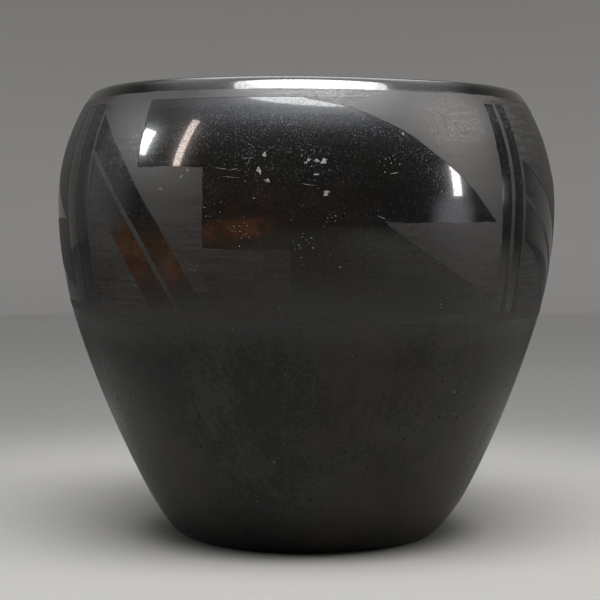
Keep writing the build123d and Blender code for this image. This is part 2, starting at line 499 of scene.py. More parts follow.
class Value:
    """A number that changes over a surface. Arithmetic on it adds Math nodes to its tree."""

    def __init__(self, tree: "NodeSketch", socket: Socket) -> None:
        """Wrap a socket of a tree."""
        self.tree = tree
        self.socket = socket

    def _math(self, operation: str, first: "Value | float", second: "Value | float") -> "Value":
        """Add a Math node on two values."""
        node = self.tree.node("ShaderNodeMath", {"operation": operation}, {0: first, 1: second})
        return Value(self.tree, node.outputs[0])

    def __add__(self, other: "Value | float") -> "Value":
        """Sum of two values."""
        return self._math("ADD", self, other)

    def __radd__(self, other: float) -> "Value":
        """Sum of a number and a value."""
        return self._math("ADD", other, self)

    def __sub__(self, other: "Value | float") -> "Value":
        """Difference of two values."""
        return self._math("SUBTRACT", self, other)

    def __rsub__(self, other: float) -> "Value":
        """Difference of a number and a value."""
        return self._math("SUBTRACT", other, self)

    def __mul__(self, other: "Value | float") -> "Value":
        """Product of two values."""
        return self._math("MULTIPLY", self, other)

    def __rmul__(self, other: float) -> "Value":
        """Product of a number and a value."""
        return self._math("MULTIPLY", other, self)


def weighed(weights: Sequence[float], values: Sequence[Value]) -> Value:
    """Sum of values, each times its weight."""
    parts = [weight * value for weight, value in zip(weights, values, strict=True)]
    return sum(parts[1:], parts[0])


class Grain(NamedTuple):
    """Cloudy noise: clouds to the metre round the jar and up it, and octaves of finer clouds in them."""

    across: float
    up: float
    detail: float


class Spots(NamedTuple):
    """Scattered round spots: cells to the metre, a spot's radius in cells, the share of cells with one."""

    scale: float
    radius: float
    kept: float


class NodeSketch:
    """The nodes of a material or a world, and the few ways in which they are added.

    The sockets of a Mix node share their names, so those for colours go by number.
    """

    mix_factor, mix_first, mix_second, mix_result = 0, 6, 7, 2
    spot_heart: float = 0.6
    spot_lot_edge: float = 0.02

    def __init__(self, owner: bpy.types.Material | bpy.types.World) -> None:
        """Start with no nodes.

        Args:
            owner: The material or world.
        """
        owner.use_nodes = True
        self.nodes = owner.node_tree.nodes
        self.links = owner.node_tree.links
        self.nodes.clear()

    def connect(self, node: bpy.types.Node, inputs: Inputs) -> None:
        """Set a node's inputs.

        Args:
            node: The node.
            inputs: Name or number of each input, with a value, a socket to link, or a plain number or colour.
        """
        for key, given in inputs.items():
            socket = node.inputs[key]
            source = given.socket if isinstance(given, Value) else given
            if isinstance(source, Socket):
                self.links.new(source, socket)
            else:
                socket.default_value = (*source, 1.0) if socket.type == "RGBA" else source

    def node(self, kind: str, settings: dict[str, object], inputs: Inputs) -> bpy.types.Node:
        """Add a node.

        Args:
            kind: The node's type.
            settings: Properties of the node, which are set first.
            inputs: Values or links of its inputs.

        Returns:
            The new node.
        """
        made = self.nodes.new(kind)
        for key, setting in settings.items():
            setattr(made, key, setting)
        self.connect(made, inputs)
        return made

    def place(self) -> Socket:
        """Object coordinates, in metres."""
        return self.node("ShaderNodeTexCoord", {}, {}).outputs["Object"]

    def along(self, place: Socket, axis: str) -> Value:
        """How far a place lies along an axis."""
        return Value(self, self.node("ShaderNodeSeparateXYZ", {}, {0: place}).outputs[axis])

    def vector(self, operation: str, *vectors: object) -> bpy.types.Node:
        """Add a Vector Math node on one or two vectors."""
        return self.node("ShaderNodeVectorMath", {"operation": operation}, dict(enumerate(vectors)))

    def measured(self, operation: str, *vectors: object) -> Value:
        """Number that a Vector Math node finds for one or two vectors."""
        return Value(self, self.vector(operation, *vectors).outputs["Value"])

    def stretched(self, place: Socket, across: float, up: float) -> Socket:
        """Scale a place by one factor on x and y, and by another on z."""
        return self.vector("MULTIPLY", place, (across, across, up)).outputs["Vector"]

    def from_axis(self, place: Socket) -> Value:
        """Distance of a place from the jar's axis."""
        return self.measured("LENGTH", self.stretched(place, 1.0, 0.0))

    def noise(self, place: Socket, grain: Grain) -> Value:
        """Cloudy noise.

        Args:
            place: Where it is read.
            grain: How fine it is.

        Returns:
            The noise, about nought in the middle and half a unit to either side.
        """
        scaled = self.stretched(place, grain.across, grain.up)
        made = self.node("ShaderNodeTexNoise", {}, {"Vector": scaled, "Scale": 1.0, "Detail": grain.detail})
        return Value(self, made.outputs["Fac"]) - 0.5

    def spots(self, place: Socket, spots: Spots) -> Value:
        """Scattered round spots, one to a cell at most, drawn by lot.

        Args:
            place: Where they are read.
            spots: How many and how large they are.

        Returns:
            One inside a spot, nought outside.
        """
        cells = self.node("ShaderNodeTexVoronoi", {}, {"Vector": place, "Scale": spots.scale})
        lot = self.node("ShaderNodeSeparateColor", {}, {0: cells.outputs["Color"]}).outputs["Red"]
        edge = (spots.radius, self.spot_heart * spots.radius)
        drawn = (spots.kept + self.spot_lot_edge, spots.kept)
        return self.fade(Value(self, cells.outputs["Distance"]), edge) * self.fade(Value(self, lot), drawn)

    def fade(self, value: Value, ramp: Ramp, least: float = 0.0) -> Value:
        """Smooth ramp.

        Args:
            value: What it follows.
            ramp: The values where it starts and where it is full.
            least: What it starts at.

        Returns:
            The least at the start, one where it is full.
        """
        inputs = {"Value": value, "From Min": ramp[0], "From Max": ramp[1], "To Min": least, "To Max": 1.0}
        made = self.node("ShaderNodeMapRange", {"interpolation_type": "SMOOTHSTEP"}, inputs)
        return Value(self, made.outputs["Result"])

    def mix(self, factor: Value, first: Tone, second: Tone) -> Socket:
        """Blend two colours.

        Args:
            factor: Share of the second colour.
            first: A colour or a colour socket.
            second: A colour or a colour socket.

        Returns:
            The blended colour.
        """
        inputs = {self.mix_factor: factor, self.mix_first: first, self.mix_second: second}
        return self.node("ShaderNodeMix", {"data_type": "RGBA"}, inputs).outputs[self.mix_result]

    def bump(self, relief: Value, depth: float) -> Socket:
        """Normal of a fine relief.

        Args:
            relief: The relief.
            depth: How deep one unit of it is, in metres.

        Returns:
            The bent normal.
        """
        made = self.node("ShaderNodeBump", {}, {"Strength": 1.0, "Distance": depth, "Height": relief})
        return made.outputs["Normal"]


class FinishTree(NodeSketch):
    """A new material with one Principled shader."""

    def __init__(self, name: str) -> None:
        """Start the material.

        Args:
            name: Its name.
        """
        self.material = bpy.data.materials.new(name)
        super().__init__(self.material)
        self.shader = self.node("ShaderNodeBsdfPrincipled", {}, {})
        self.node("ShaderNodeOutputMaterial", {}, {"Surface": self.shader.outputs[0]})


# Finishes


class BrownReflection(NamedTuple):
    """A patch of painted brown reflection: its angle in degrees, height, reach, flatness and strength."""

    angle: float
    height: float
    reach: float
    flatness: float
    strength: float = 1.0


class SlipMaps(NamedTuple):
    """What varies over the burnish. Strokes, smoke, grain and uneven are signed, the rest run from nought."""

    body: Value
    upper_body: Value
    heel: Value
    strokes: Value
    bloom_and_sheen: Value
    dusty: Value
    rubbed: Value
    smoke: Value
    grain: Value
    uneven: Value
    pits: Value


@dataclass(frozen=True)
class BurnishedSlip:
    """Slip rubbed with a stone and smoked black: a dark mirror in the band, a little hazier down the body.

    The rough base gives the halo round a highlight, and the smooth coat over it gives the crisp image. A ramp
    says where something starts and where it is full. A mix weighs maps in the order that its method lists.
    """

    cool_black: Colour = (0.0025, 0.0024, 0.0019)
    smoked_brown: Colour = (0.0150, 0.0098, 0.0042)
    ash: Colour = (0.0158, 0.0152, 0.0112)
    dust: Colour = (0.050, 0.053, 0.058)
    # Painted sheen: a pale blue-grey under the top highlight, on the front of the band.
    painted_sheen: Colour = (0.014, 0.016, 0.019)
    # Painted reflection of a brown surface.
    painted_brown_reflection: Colour = (0.032, 0.0118, 0.0045)

    body_ramp: Ramp = (55.3 * MM, 44.3 * MM)
    heel_ramp: Ramp = (16.0 * MM, 2.0 * MM)
    lip_ramp: Ramp = (98.6 * MM, 98.0 * MM)
    shoulder_ramp: Ramp = (70.0 * MM, 90.0 * MM)
    bloom_ramp: Ramp = (84.0 * MM, 98.0 * MM)
    front_ramp: Ramp = (-40.0 * MM, -51.0 * MM)

    strokes: Grain = Grain(38.0, 950.0, 4.0)
    dust_dots: Spots = Spots(1750.0, 0.34, 0.42)
    crowd: Grain = Grain(70.0, 70.0, 3.0)
    crowd_ramp: Ramp = (-0.14, 0.10)
    film: Grain = Grain(4600.0, 4600.0, 2.0)
    film_crowding: float = 0.2
    film_ramp: Ramp = (0.04, 0.20)
    dust_mix: tuple[float, ...] = (0.90, 0.65)
    sweep: Grain = Grain(60.0, 260.0, 3.0)
    sweep_ramp: Ramp = (-0.12, 0.12)
    least_swept: float = 0.45
    least_settled: float = 0.35
    rub: Grain = Grain(2600.0, 2600.0, 2.0)
    rub_ramp: Ramp = (-0.06, 0.16)

    smoke: Grain = Grain(24.0, 24.0, 5.0)
    smoke_ramp: Ramp = (0.0, 0.22)
    smoke_stray: float = 0.3
    band_smoke: float = 0.15
    body_smoke: float = 0.65
    clouds: Grain = Grain(62.0, 62.0, 2.6)
    grain: Grain = Grain(1250.0, 1250.0, 3.0)
    streaks: Grain = Grain(560.0, 60.0, 3.0)
    uneven_mix: tuple[float, ...] = (1.15, 0.95, 0.50)
    ash_ramp: Ramp = (-0.18, 0.24)
    # Also darkens the heel as painted shade, by taking the ash out of its colour.
    heel_calm_and_shade: float = 0.7
    pits: Spots = Spots(260.0, 0.12, 0.40)
    pit_shade: float = 0.8

    # Patches of painted reflection of a brown surface, low in the band on the front and left.
    brown_reflections: tuple[BrownReflection, ...] = (
        BrownReflection(-41.5, 65.5 * MM, 9.5 * MM, 1.0),
        BrownReflection(-29.5, 65.0 * MM, 8.5 * MM, 1.0),
        BrownReflection(-17.5, 69.9 * MM, 7.5 * MM, 2.4),
        BrownReflection(-10.5, 70.8 * MM, 7.0 * MM, 2.4),
        BrownReflection(-12.0, 75.0 * MM, 15.0 * MM, 1.7, 0.22),
        BrownReflection(4.0, 75.5 * MM, 13.0 * MM, 1.9, 0.15),
    )
    brown_reflection_radius: float = 57.2 * MM
    brown_reflection_heart: float = 0.2
    mottle: Grain = Grain(240.0, 240.0, 5.0)
    mottle_ramp: Ramp = (-0.10, 0.12)
    least_mottle: float = 0.30

    band_roughness: float = 0.17
    bloom_roughness: float = 0.275
    body_roughness: float = 0.40
    dust_roughness: float = 0.50
    roughness_mix: tuple[float, ...] = (0.14, 0.34, 0.40, -0.12)
    band_coat: float = 0.92
    body_coat: float = 0.03
    coat_mix: tuple[float, ...] = (0.50, -0.40, 0.22, -0.20)
    coat_roughness: float = 0.05
    coat_ior: float = 1.50
    ior: float = 1.36
    relief_mix: tuple[float, ...] = (0.5, 0.5, -6.0)
    relief_depth: float = 0.008 * MM

    def maps(self, tree: FinishTree, place: Socket) -> SlipMaps:
        """Work out the maps: strokes, a rougher top that also places the painted sheen, and dust in the band,
        and smoke, grain and pits on the body. Towards the foot the ash fades out as painted shade.

        Args:
            tree: The finish's node tree.
            place: Place on the jar.

        Returns:
            The maps.
        """
        height = tree.along(place, "Z")
        body = tree.fade(height, self.body_ramp)
        band = 1.0 - body
        heel = tree.fade(height, self.heel_ramp)
        # Towards the foot the texture calms and the ash fades out; the darker heel is painted shade.
        upper_body = body * (1.0 - self.heel_calm_and_shade * heel)
        below_lip = tree.fade(height, self.lip_ramp)
        crowd = tree.noise(place, self.crowd)
        dots = tree.spots(place, self.dust_dots) * tree.fade(crowd, self.crowd_ramp)
        film = tree.fade(tree.noise(place, self.film) + self.film_crowding * crowd, self.film_ramp)
        swept = tree.fade(tree.noise(place, self.sweep), self.sweep_ramp, self.least_swept)
        settled = tree.fade(height, self.shoulder_ramp, self.least_settled) * below_lip * band
        clouds, grain, streaks = (tree.noise(place, size) for size in (self.clouds, self.grain, self.streaks))
        return SlipMaps(
            body=body,
            upper_body=upper_body,
            heel=heel,
            strokes=tree.noise(place, self.strokes) * band,
            bloom_and_sheen=tree.fade(height, self.bloom_ramp) * below_lip,
            dusty=weighed(self.dust_mix, (dots, film)) * swept * settled,
            rubbed=tree.fade(tree.noise(place, self.rub), self.rub_ramp) * band,
            smoke=tree.noise(place, self.smoke),
            grain=grain * body,
            uneven=weighed(self.uneven_mix, (clouds, grain, streaks)) * upper_body,
            pits=tree.spots(place, self.pits) * body,
        )

    def brown_reflection_share(self, tree: FinishTree, place: Socket) -> Value:
        """Add up the patches of painted brown reflection: each fades with the distance from its middle.

        Args:
            tree: The finish's node tree.
            place: Place on the jar.

        Returns:
            Strength of the painted reflection, mottled.
        """
        fades = []
        for brown_patch in self.brown_reflections:
            middle = around(self.brown_reflection_radius, math.radians(brown_patch.angle), brown_patch.flatness * brown_patch.height)
            apart = tree.measured("DISTANCE", tree.stretched(place, 1.0, brown_patch.flatness), middle)
            fades.append(tree.fade(apart, (brown_patch.reach, self.brown_reflection_heart * brown_patch.reach)))
        mottle = tree.fade(tree.noise(place, self.mottle), self.mottle_ramp, self.least_mottle)
        return weighed([brown_patch.strength for brown_patch in self.brown_reflections], fades) * mottle

    def tone(self, tree: FinishTree, place: Socket, maps: SlipMaps) -> Socket:
        """Lay the colours over the black: ash, smoke, a painted brown reflection, a painted sheen and dust.
        The pits and the heel are darkened as painted shade.

        Args:
            tree: The finish's node tree.
            place: Place on the jar.
            maps: The slip's maps.

        Returns:
            The colour.
        """
        smoky = tree.fade(maps.smoke + self.smoke_stray * maps.uneven, self.smoke_ramp)
        front = tree.fade(tree.along(place, "Y"), self.front_ramp)
        # Ash fades out towards the foot, which darkens the heel: painted shade.
        tone = tree.mix(tree.fade(maps.uneven, self.ash_ramp) * maps.upper_body, self.cool_black, self.ash)
        tone = tree.mix(smoky * (self.band_smoke + self.body_smoke * maps.body), tone, self.smoked_brown)
        # Painted brown reflection.
        tone = tree.mix(self.brown_reflection_share(tree, place), tone, self.painted_brown_reflection)
        # Painted sheen under the top highlight, on the front only.
        tone = tree.mix(maps.bloom_and_sheen * front, tone, self.painted_sheen)
        tone = tree.mix(maps.dusty, tone, self.dust)
        # Painted shade in the pits.
        return tree.mix(self.pit_shade * maps.pits, tone, self.cool_black)

    def roughness(self, maps: SlipMaps) -> Value:
        """Add up the base's roughness: the band's, moved towards that of body, bloom and dust, and textured.

        Args:
            maps: The slip's maps.

        Returns:
            The roughness.
        """
        others = (self.body_roughness, self.bloom_roughness, self.dust_roughness)
        apart = [roughness - self.band_roughness for roughness in others]
        texture = weighed(self.roughness_mix, (maps.strokes, maps.uneven, maps.pits, maps.heel))
        return self.band_roughness + weighed(apart, (maps.body, maps.bloom_and_sheen, maps.dusty)) + texture

    def coat(self, maps: SlipMaps) -> Value:
        """Add up the weight of the coat: the band's, moved towards the body's, textured, and dulled by dust.

        Args:
            maps: The slip's maps.

        Returns:
            The weight.
        """
        texture = weighed(self.coat_mix, (maps.strokes, maps.rubbed, maps.uneven, maps.pits))
        plain = self.band_coat + (self.body_coat - self.band_coat) * maps.body
        return plain + texture - maps.dusty * (1.0 - maps.body)

    def material(self) -> bpy.types.Material:
        """Make the material.

        Returns:
            The material, with a fine relief of strokes, grain and pits.
        """
        tree = FinishTree("burnished_slip")
        place = tree.place()
        maps = self.maps(tree, place)
        relief = weighed(self.relief_mix, (maps.strokes, maps.grain, maps.pits))
        tree.connect(
            tree.shader,
            {
                "Base Color": self.tone(tree, place, maps),
                "Roughness": self.roughness(maps),
                "IOR": self.ior,
                "Coat Weight": self.coat(maps),
                "Coat Roughness": self.coat_roughness,
                "Coat IOR": self.coat_ior,
                "Normal": tree.bump(relief, self.relief_depth),
            },
        )
        return tree.material


@dataclass(frozen=True)
class MatteSlip:
    """Thin slip brushed over the burnish, which dulled to a soft grey-black in the fire."""

    grey: Colour = (0.0062, 0.0053, 0.0047)
    thin_grey: Colour = (0.0155, 0.0134, 0.0119)
    fleck: Colour = (0.16, 0.155, 0.15)
    strokes: Grain = Grain(110.0, 1500.0, 2.0)
    patches: Grain = Grain(70.0, 70.0, 3.0)
    grain: Grain = Grain(1900.0, 1900.0, 3.0)
    thin_mix: tuple[float, ...] = (0.35, 0.25, 0.40)
    thin_ramp: Ramp = (-0.14, 0.14)
    flecks: Spots = Spots(420.0, 0.075, 0.10)
    fleck_strength: float = 0.8
    roughness: float = 0.46
    roughness_mix: tuple[float, ...] = (0.24, 0.25, 0.45)
    relief_mix: tuple[float, ...] = (0.3, 0.7)
    relief_depth: float = 0.02 * MM
    ior: float = 1.52

    def material(self) -> bpy.types.Material:
        """Make the material: faint level brush strokes, thin patches, a fine dry grain and a few pale flecks.

        Returns:
            The material.
        """
        tree = FinishTree("matte_slip")
        place = tree.place()
        grains = (self.strokes, self.patches, self.grain)
        strokes, patches, grain = (tree.noise(place, size) for size in grains)
        brushed = (strokes, patches, grain)
        tone = tree.mix(tree.fade(weighed(self.thin_mix, brushed), self.thin_ramp), self.grey, self.thin_grey)
        tone = tree.mix(self.fleck_strength * tree.spots(place, self.flecks), tone, self.fleck)
        tree.connect(
            tree.shader,
            {
                "Base Color": tone,
                "Roughness": self.roughness + weighed(self.roughness_mix, brushed),
                "IOR": self.ior,
                "Normal": tree.bump(weighed(self.relief_mix, (strokes, grain)), self.relief_depth),
            },
        )
        return tree.material


@dataclass(frozen=True)
class BareScar:
    """Pale clay dust in a chip or a scratch."""

    pale: Colour = (0.185, 0.185, 0.181)
    grey: Colour = (0.085, 0.083, 0.080)
    patches: Grain = Grain(1500.0, 1500.0, 2.0)
    patch_ramp: Ramp = (-0.10, 0.12)
    grain: Grain = Grain(4200.0, 4200.0, 2.0)
    relief_depth: float = 0.05 * MM
    roughness: float = 0.8

    def material(self) -> bpy.types.Material:
        """Make the material: a pale powder with greyer patches and a coarse grain.

        Returns:
            The material.
        """
        tree = FinishTree("bare_scar")
        place = tree.place()
        tone = tree.mix(tree.fade(tree.noise(place, self.patches), self.patch_ramp), self.pale, self.grey)
        relief = tree.bump(tree.noise(place, self.grain), self.relief_depth)
        tree.connect(tree.shader, {"Base Color": tone, "Roughness": self.roughness, "Normal": relief})
        return tree.material


@dataclass(frozen=True)
class SmudgedClay:
    """Bare clay smoked grey-black right through, scraped inside and worn under the foot."""

    black: Colour = (0.018, 0.0165, 0.0150)
    grey: Colour = (0.050, 0.046, 0.041)
    pale_grit: Colour = (0.110, 0.102, 0.092)
    smoke: Grain = Grain(30.0, 30.0, 4.0)
    scrapes: Grain = Grain(60.0, 900.0, 3.0)
    grain: Grain = Grain(1900.0, 1900.0, 2.0)
    grey_mix: tuple[float, ...] = (0.6, 0.4)
    grey_ramp: Ramp = (-0.12, 0.16)
    grit: Spots = Spots(520.0, 0.16, 0.22)
    grit_strength: float = 0.7
    roughness: float = 0.74
    roughness_mix: tuple[float, ...] = (0.12, 0.10)
    relief_mix: tuple[float, ...] = (0.5, 0.3, 0.3)
    relief_depth: float = 0.10 * MM
    ior: float = 1.45

    def material(self) -> bpy.types.Material:
        """Make the material: smoke clouds, level scrape marks and small pale grit.

        Returns:
            The material.
        """
        tree = FinishTree("smudged_clay")
        place = tree.place()
        smoke, scrapes, grain = (tree.noise(place, size) for size in (self.smoke, self.scrapes, self.grain))
        grit = tree.spots(place, self.grit)
        greyed = tree.fade(weighed(self.grey_mix, (smoke, scrapes)), self.grey_ramp)
        tone = tree.mix(greyed, self.black, self.grey)
        tone = tree.mix(self.grit_strength * grit, tone, self.pale_grit)
        tree.connect(
            tree.shader,
            {
                "Base Color": tone,
                "Roughness": self.roughness + weighed(self.roughness_mix, (scrapes, grain)),
                "IOR": self.ior,
                "Normal": tree.bump(weighed(self.relief_mix, (scrapes, grain, grit)), self.relief_depth),
            },
        )
        return tree.material


# The jar's pieces


@dataclass
class ClayBody(SubAssembly):
    """The moulded base, six wall coils and the rim coil, each lapping the one under it on a bevel."""

    surface: JarSurface
    finish: bpy.types.Material
    base_height: float = 20.0 * MM
    floor: float = 7.0 * MM
    floor_fillet: float = 6.0 * MM
    foot_ring: float = 9.0 * MM
    foot_dish: float = 1.2 * MM
    coils: int = 6
    rim_height: float = 8.5 * MM
    lap: float = 5.0 * MM
    finger_dip: float = 0.22 * MM
    finger_width: float = 2.4 * MM
    finger_evenness: float = 0.7
    finger_ripple: tuple[float, float] = (5.0, 400.0)
    scrape: float = 0.10 * MM
    scrape_ripple: tuple[float, float] = (7.0, 900.0)
    scrape_rows: float = 620.0
    scrape_sway: tuple[float, float] = (3.0, 2.0)
    smooth_above: float = 90.0 * MM
    smooth_fade: float = 8.0 * MM
    columns: int = 288
    step: float = 1.1 * MM
    hidden_step: float = 2.2 * MM
    foot_step: float = 0.77 * MM
    dish_rows: int = 14
    floor_rows: int = 16
    fillet_rows: int = 12
    lip_rows: int = 14

    def joints(self) -> np.ndarray:
        """Heights of the joints on the outer face, evenly spaced from the base to the rim coil."""
        top = float(self.surface.outline.lip_outer()[1]) - self.rim_height
        return np.linspace(self.base_height, top, self.coils + 1)

    def outer_face(self, low: float, high: float) -> np.ndarray:
        """Find the section of the clay's outside between two heights.

        Args:
            low: Height of the lower end.
            high: Height of the upper end.

        Returns:
            Radius and height of each point, from the bottom up.
        """
        outline = self.surface.outline
        leans = outline.lean_at(outline.outer(), np.array([low, high]), 0.0)
        return outline.face(outline.outer(), *leans, 0.0, self.hidden_step)

    def inner_face(self, low: float, high: float) -> np.ndarray:
        """Find the section of the inside between two joints, which meet it one lap lower.

        Args:
            low: Height of the lower joint.
            high: Height of the upper joint.

        Returns:
            Radius and height of each point, from the bottom up.
        """
        outline = self.surface.outline
        leans = outline.lean_at(outline.inner(), np.array([low, high]) - self.lap, outline.wall)
        return outline.face(outline.inner(), *leans, outline.wall, self.step)

    def scraped(self, heights: np.ndarray) -> np.ndarray:
        """Work out how the inside departs from its smooth section.

        Each joint leaves a shallow hollow where fingers pressed it, a bell curve in height whose depth
        ripples round the jar. A scraper leaves long low waves, a ripple times the cosine of rows that sway.
        A ripple is the sine of its lobes times the angle plus its twist times the height. Both die out
        towards the rim.

        Args:
            heights: Heights of the section's points.

        Returns:
            What to add to the radius, by section point and column.
        """
        angles, tall = even_angles(self.columns)[None, :], heights[:, None]
        joints = (self.joints() - self.lap)[None, :]
        hollows = np.exp(-(((tall - joints) / self.finger_width) ** 2)).sum(axis=1)[:, None]
        ripples = [np.sin(n * angles + twist * tall) for n, twist in (self.finger_ripple, self.scrape_ripple)]
        uneven = self.finger_evenness + (1.0 - self.finger_evenness) * ripples[0]
        bends, sway = self.scrape_sway
        waves = ripples[1] * np.cos(self.scrape_rows * tall + sway * np.sin(bends * angles))
        calm = np.clip((self.smooth_above - tall) / self.smooth_fade, 0.0, 1.0)
        return calm * (self.finger_dip * hollows * uneven + self.scrape * waves)

    def ring(self, name: str, outside: np.ndarray, inside: np.ndarray) -> None:
        """Build one closed ring from the section up its outside and the section down its inside.

        Args:
            name: Name of its CAD node.
            outside: Section points from the bottom up, and over the lip on the rim coil.
            inside: Section points from the bottom up.
        """
        section = np.concatenate([outside, inside[::-1]])
        radii = np.repeat(section[:, :1], self.columns, axis=1)
        radii[len(outside):] += self.scraped(section[len(outside):, 1])
        points = self.surface.turned(radii, section[:, 1], self.columns)
        faces = grid_quads(len(section), self.columns, True, True)
        self.add(name, points, faces, self.finish, Slot.SMUDGED_CLAY)

    def floor_section(self) -> np.ndarray:
        """Work out the floor's section.

        The fillet's circle touches the floor and lies inside the inner heel's circle, so its centre stands
        one fillet over the floor and the heel's radius less the fillet from the heel's centre.

        Returns:
            Section points from the axis out, over the fillet and up the inside to the first joint.
        """
        outline = self.surface.outline
        inner = outline.inner()
        heel = inner[0]
        reach = heel.radius - outline.wall - self.floor_fillet
        centre_z = self.floor + self.floor_fillet
        centre_r = heel.r + math.sqrt(reach**2 - (centre_z - heel.z) ** 2)
        meeting = math.asin((centre_z - heel.z) / reach)
        fillet = Arc(centre_r, centre_z, self.floor_fillet, -math.pi / 2, meeting)
        bend = fillet.points(np.linspace(fillet.low, fillet.high, self.fillet_rows), 0.0)
        out = np.linspace(0.0, bend[0, 0], self.floor_rows)[:-1]
        level = np.stack([out, np.full_like(out, self.floor)], axis=-1)
        top = float(outline.lean_at(inner, self.joints()[0] - self.lap, outline.wall))
        return np.concatenate([level, bend, outline.face(inner, meeting, top, outline.wall, self.step)[1:]])

    def build_base(self) -> None:
        """Build the base: the dish under the foot, the foot ring, the heel, the bevel and the filleted floor.

        The dish rises towards the axis as one less the square of the distance from it.
        """
        outline = self.surface.outline
        outer = outline.outer()
        foot = outline.section_at(outer, -math.pi / 2, 0.0)[0]
        out = np.linspace(0.0, foot - self.foot_ring, self.dish_rows)
        dish = np.stack([out, self.foot_dish * (1.0 - (out / out[-1]) ** 2)], axis=-1)
        rise = float(outline.lean_at(outer, self.joints()[0], 0.0))
        outside = outline.face(outer, -math.pi / 2, rise, 0.0, self.foot_step)
        section = np.concatenate([dish, outside, self.floor_section()[::-1]])
        points = self.surface.turned(section[:, 0], section[:, 1], self.columns)
        faces = grid_quads(len(section), self.columns, False, True)
        self.add("moulded_base", points, faces, self.finish, Slot.SMUDGED_CLAY)

    def build(self) -> None:
        """Build the base, the wall coils and the rim coil, from the foot up."""
        self.build_base()
        joints = self.joints()
        for number, (low, high) in enumerate(zip(joints, joints[1:]), start=1):
            self.ring(f"wall_coil_{number}", self.outer_face(low, high), self.inner_face(low, high))
        outline = self.surface.outline
        inner = outline.inner()
        outside = self.outer_face(joints[-1], float(outline.lip_outer()[1]))
        over = outline.lip_round(outline.wall / 2, self.lip_rows)[1:-1]
        start = float(outline.lean_at(inner, joints[-1] - self.lap, outline.wall))
        inside = outline.face(inner, start, outline.shoulder_angle, outline.wall, self.step)
        self.ring("rim_coil", np.concatenate([outside, over]), inside)


@dataclass
class SlipCoat(SubAssembly):
    """The burnished skin: up the outside from just over the foot, over the lip and a little way in."""

    surface: JarSurface
    finish: bpy.types.Material
    foot_clearance: float = 0.6 * MM
    turn_in: float = 7.0 * MM
    columns: int = 384
    step: float = 0.8 * MM
    inner_step: float = 1.6 * MM
    hidden_step: float = 3.2 * MM
    lip_rows: int = 20
    hidden_lip_rows: int = 10

    def build(self) -> None:
        """Carry the skin's closed section, outside and then back along the clay, round the axis."""
        surface, outline = self.surface, self.surface.outline
        outer, inner, lip = outline.outer(), outline.inner(), outline.shoulder_angle
        foot = float(outline.lean_at(outer, self.foot_clearance, -surface.slip))
        turn = float(outline.lean_at(inner, outline.lip_centre()[1] - self.turn_in, outline.wall))
        section = np.concatenate(
            [
                outline.face(outer, foot, lip, -surface.slip, self.step)[:-1],
                outline.lip_round(outline.wall / 2 + surface.slip, self.lip_rows),
                outline.face(inner, turn, lip, outline.wall + surface.slip, self.step)[-2::-1],
                outline.face(inner, turn, lip, outline.wall, self.inner_step),
                outline.lip_round(outline.wall / 2, self.hidden_lip_rows)[-2:0:-1],
                outline.face(outer, foot, lip, 0.0, self.hidden_step)[::-1],
            ]
        )
        points = surface.turned(section[:, 0], section[:, 1], self.columns)
        faces = grid_quads(len(section), self.columns, True, True)
        self.add("slip_coat", points, faces, self.finish, Slot.BURNISHED_SLIP)


class PaintedField(NamedTuple):
    """A stretch of paint between a left and a right edge, from one height to another."""

    left: Edge
    right: Edge
    low: float
    high: float


@dataclass(frozen=True)
class Brush:
    """How paint goes on by hand: its thickness, the waver of its edges and its finest line."""

    thickness: float = 0.05 * MM
    bed: float = 0.03 * MM
    waver: float = 0.10 * MM
    wavelengths: tuple[float, ...] = (31.0 * MM, 13.0 * MM, 5.3 * MM, 2.3 * MM)
    wave_sizes: tuple[float, ...] = (1.0, 0.8, 0.5, 0.3)
    steady_width: float = 2.0 * MM
    least_waver: float = 0.15
    overlap: float = 0.35 * MM
    step: float = 0.7 * MM
    least_columns: int = 4
    finest: float = 0.20 * MM
    probes: int = 801

    def wander(self, along: np.ndarray, seed: int) -> np.ndarray:
        """Stray of a painted edge: sines of falling size at random phases.

        Args:
            along: Distance along the edge.
            seed: Which edge it is.

        Returns:
            The stray, across the edge.
        """
        phases = np.random.default_rng(seed).uniform(0.0, math.tau, len(self.wavelengths))
        waves = zip(self.wavelengths, self.wave_sizes, phases)
        sines = [size * np.sin(math.tau * along / length + phase) for length, size, phase in waves]
        return self.waver * np.sum(sines, axis=0)


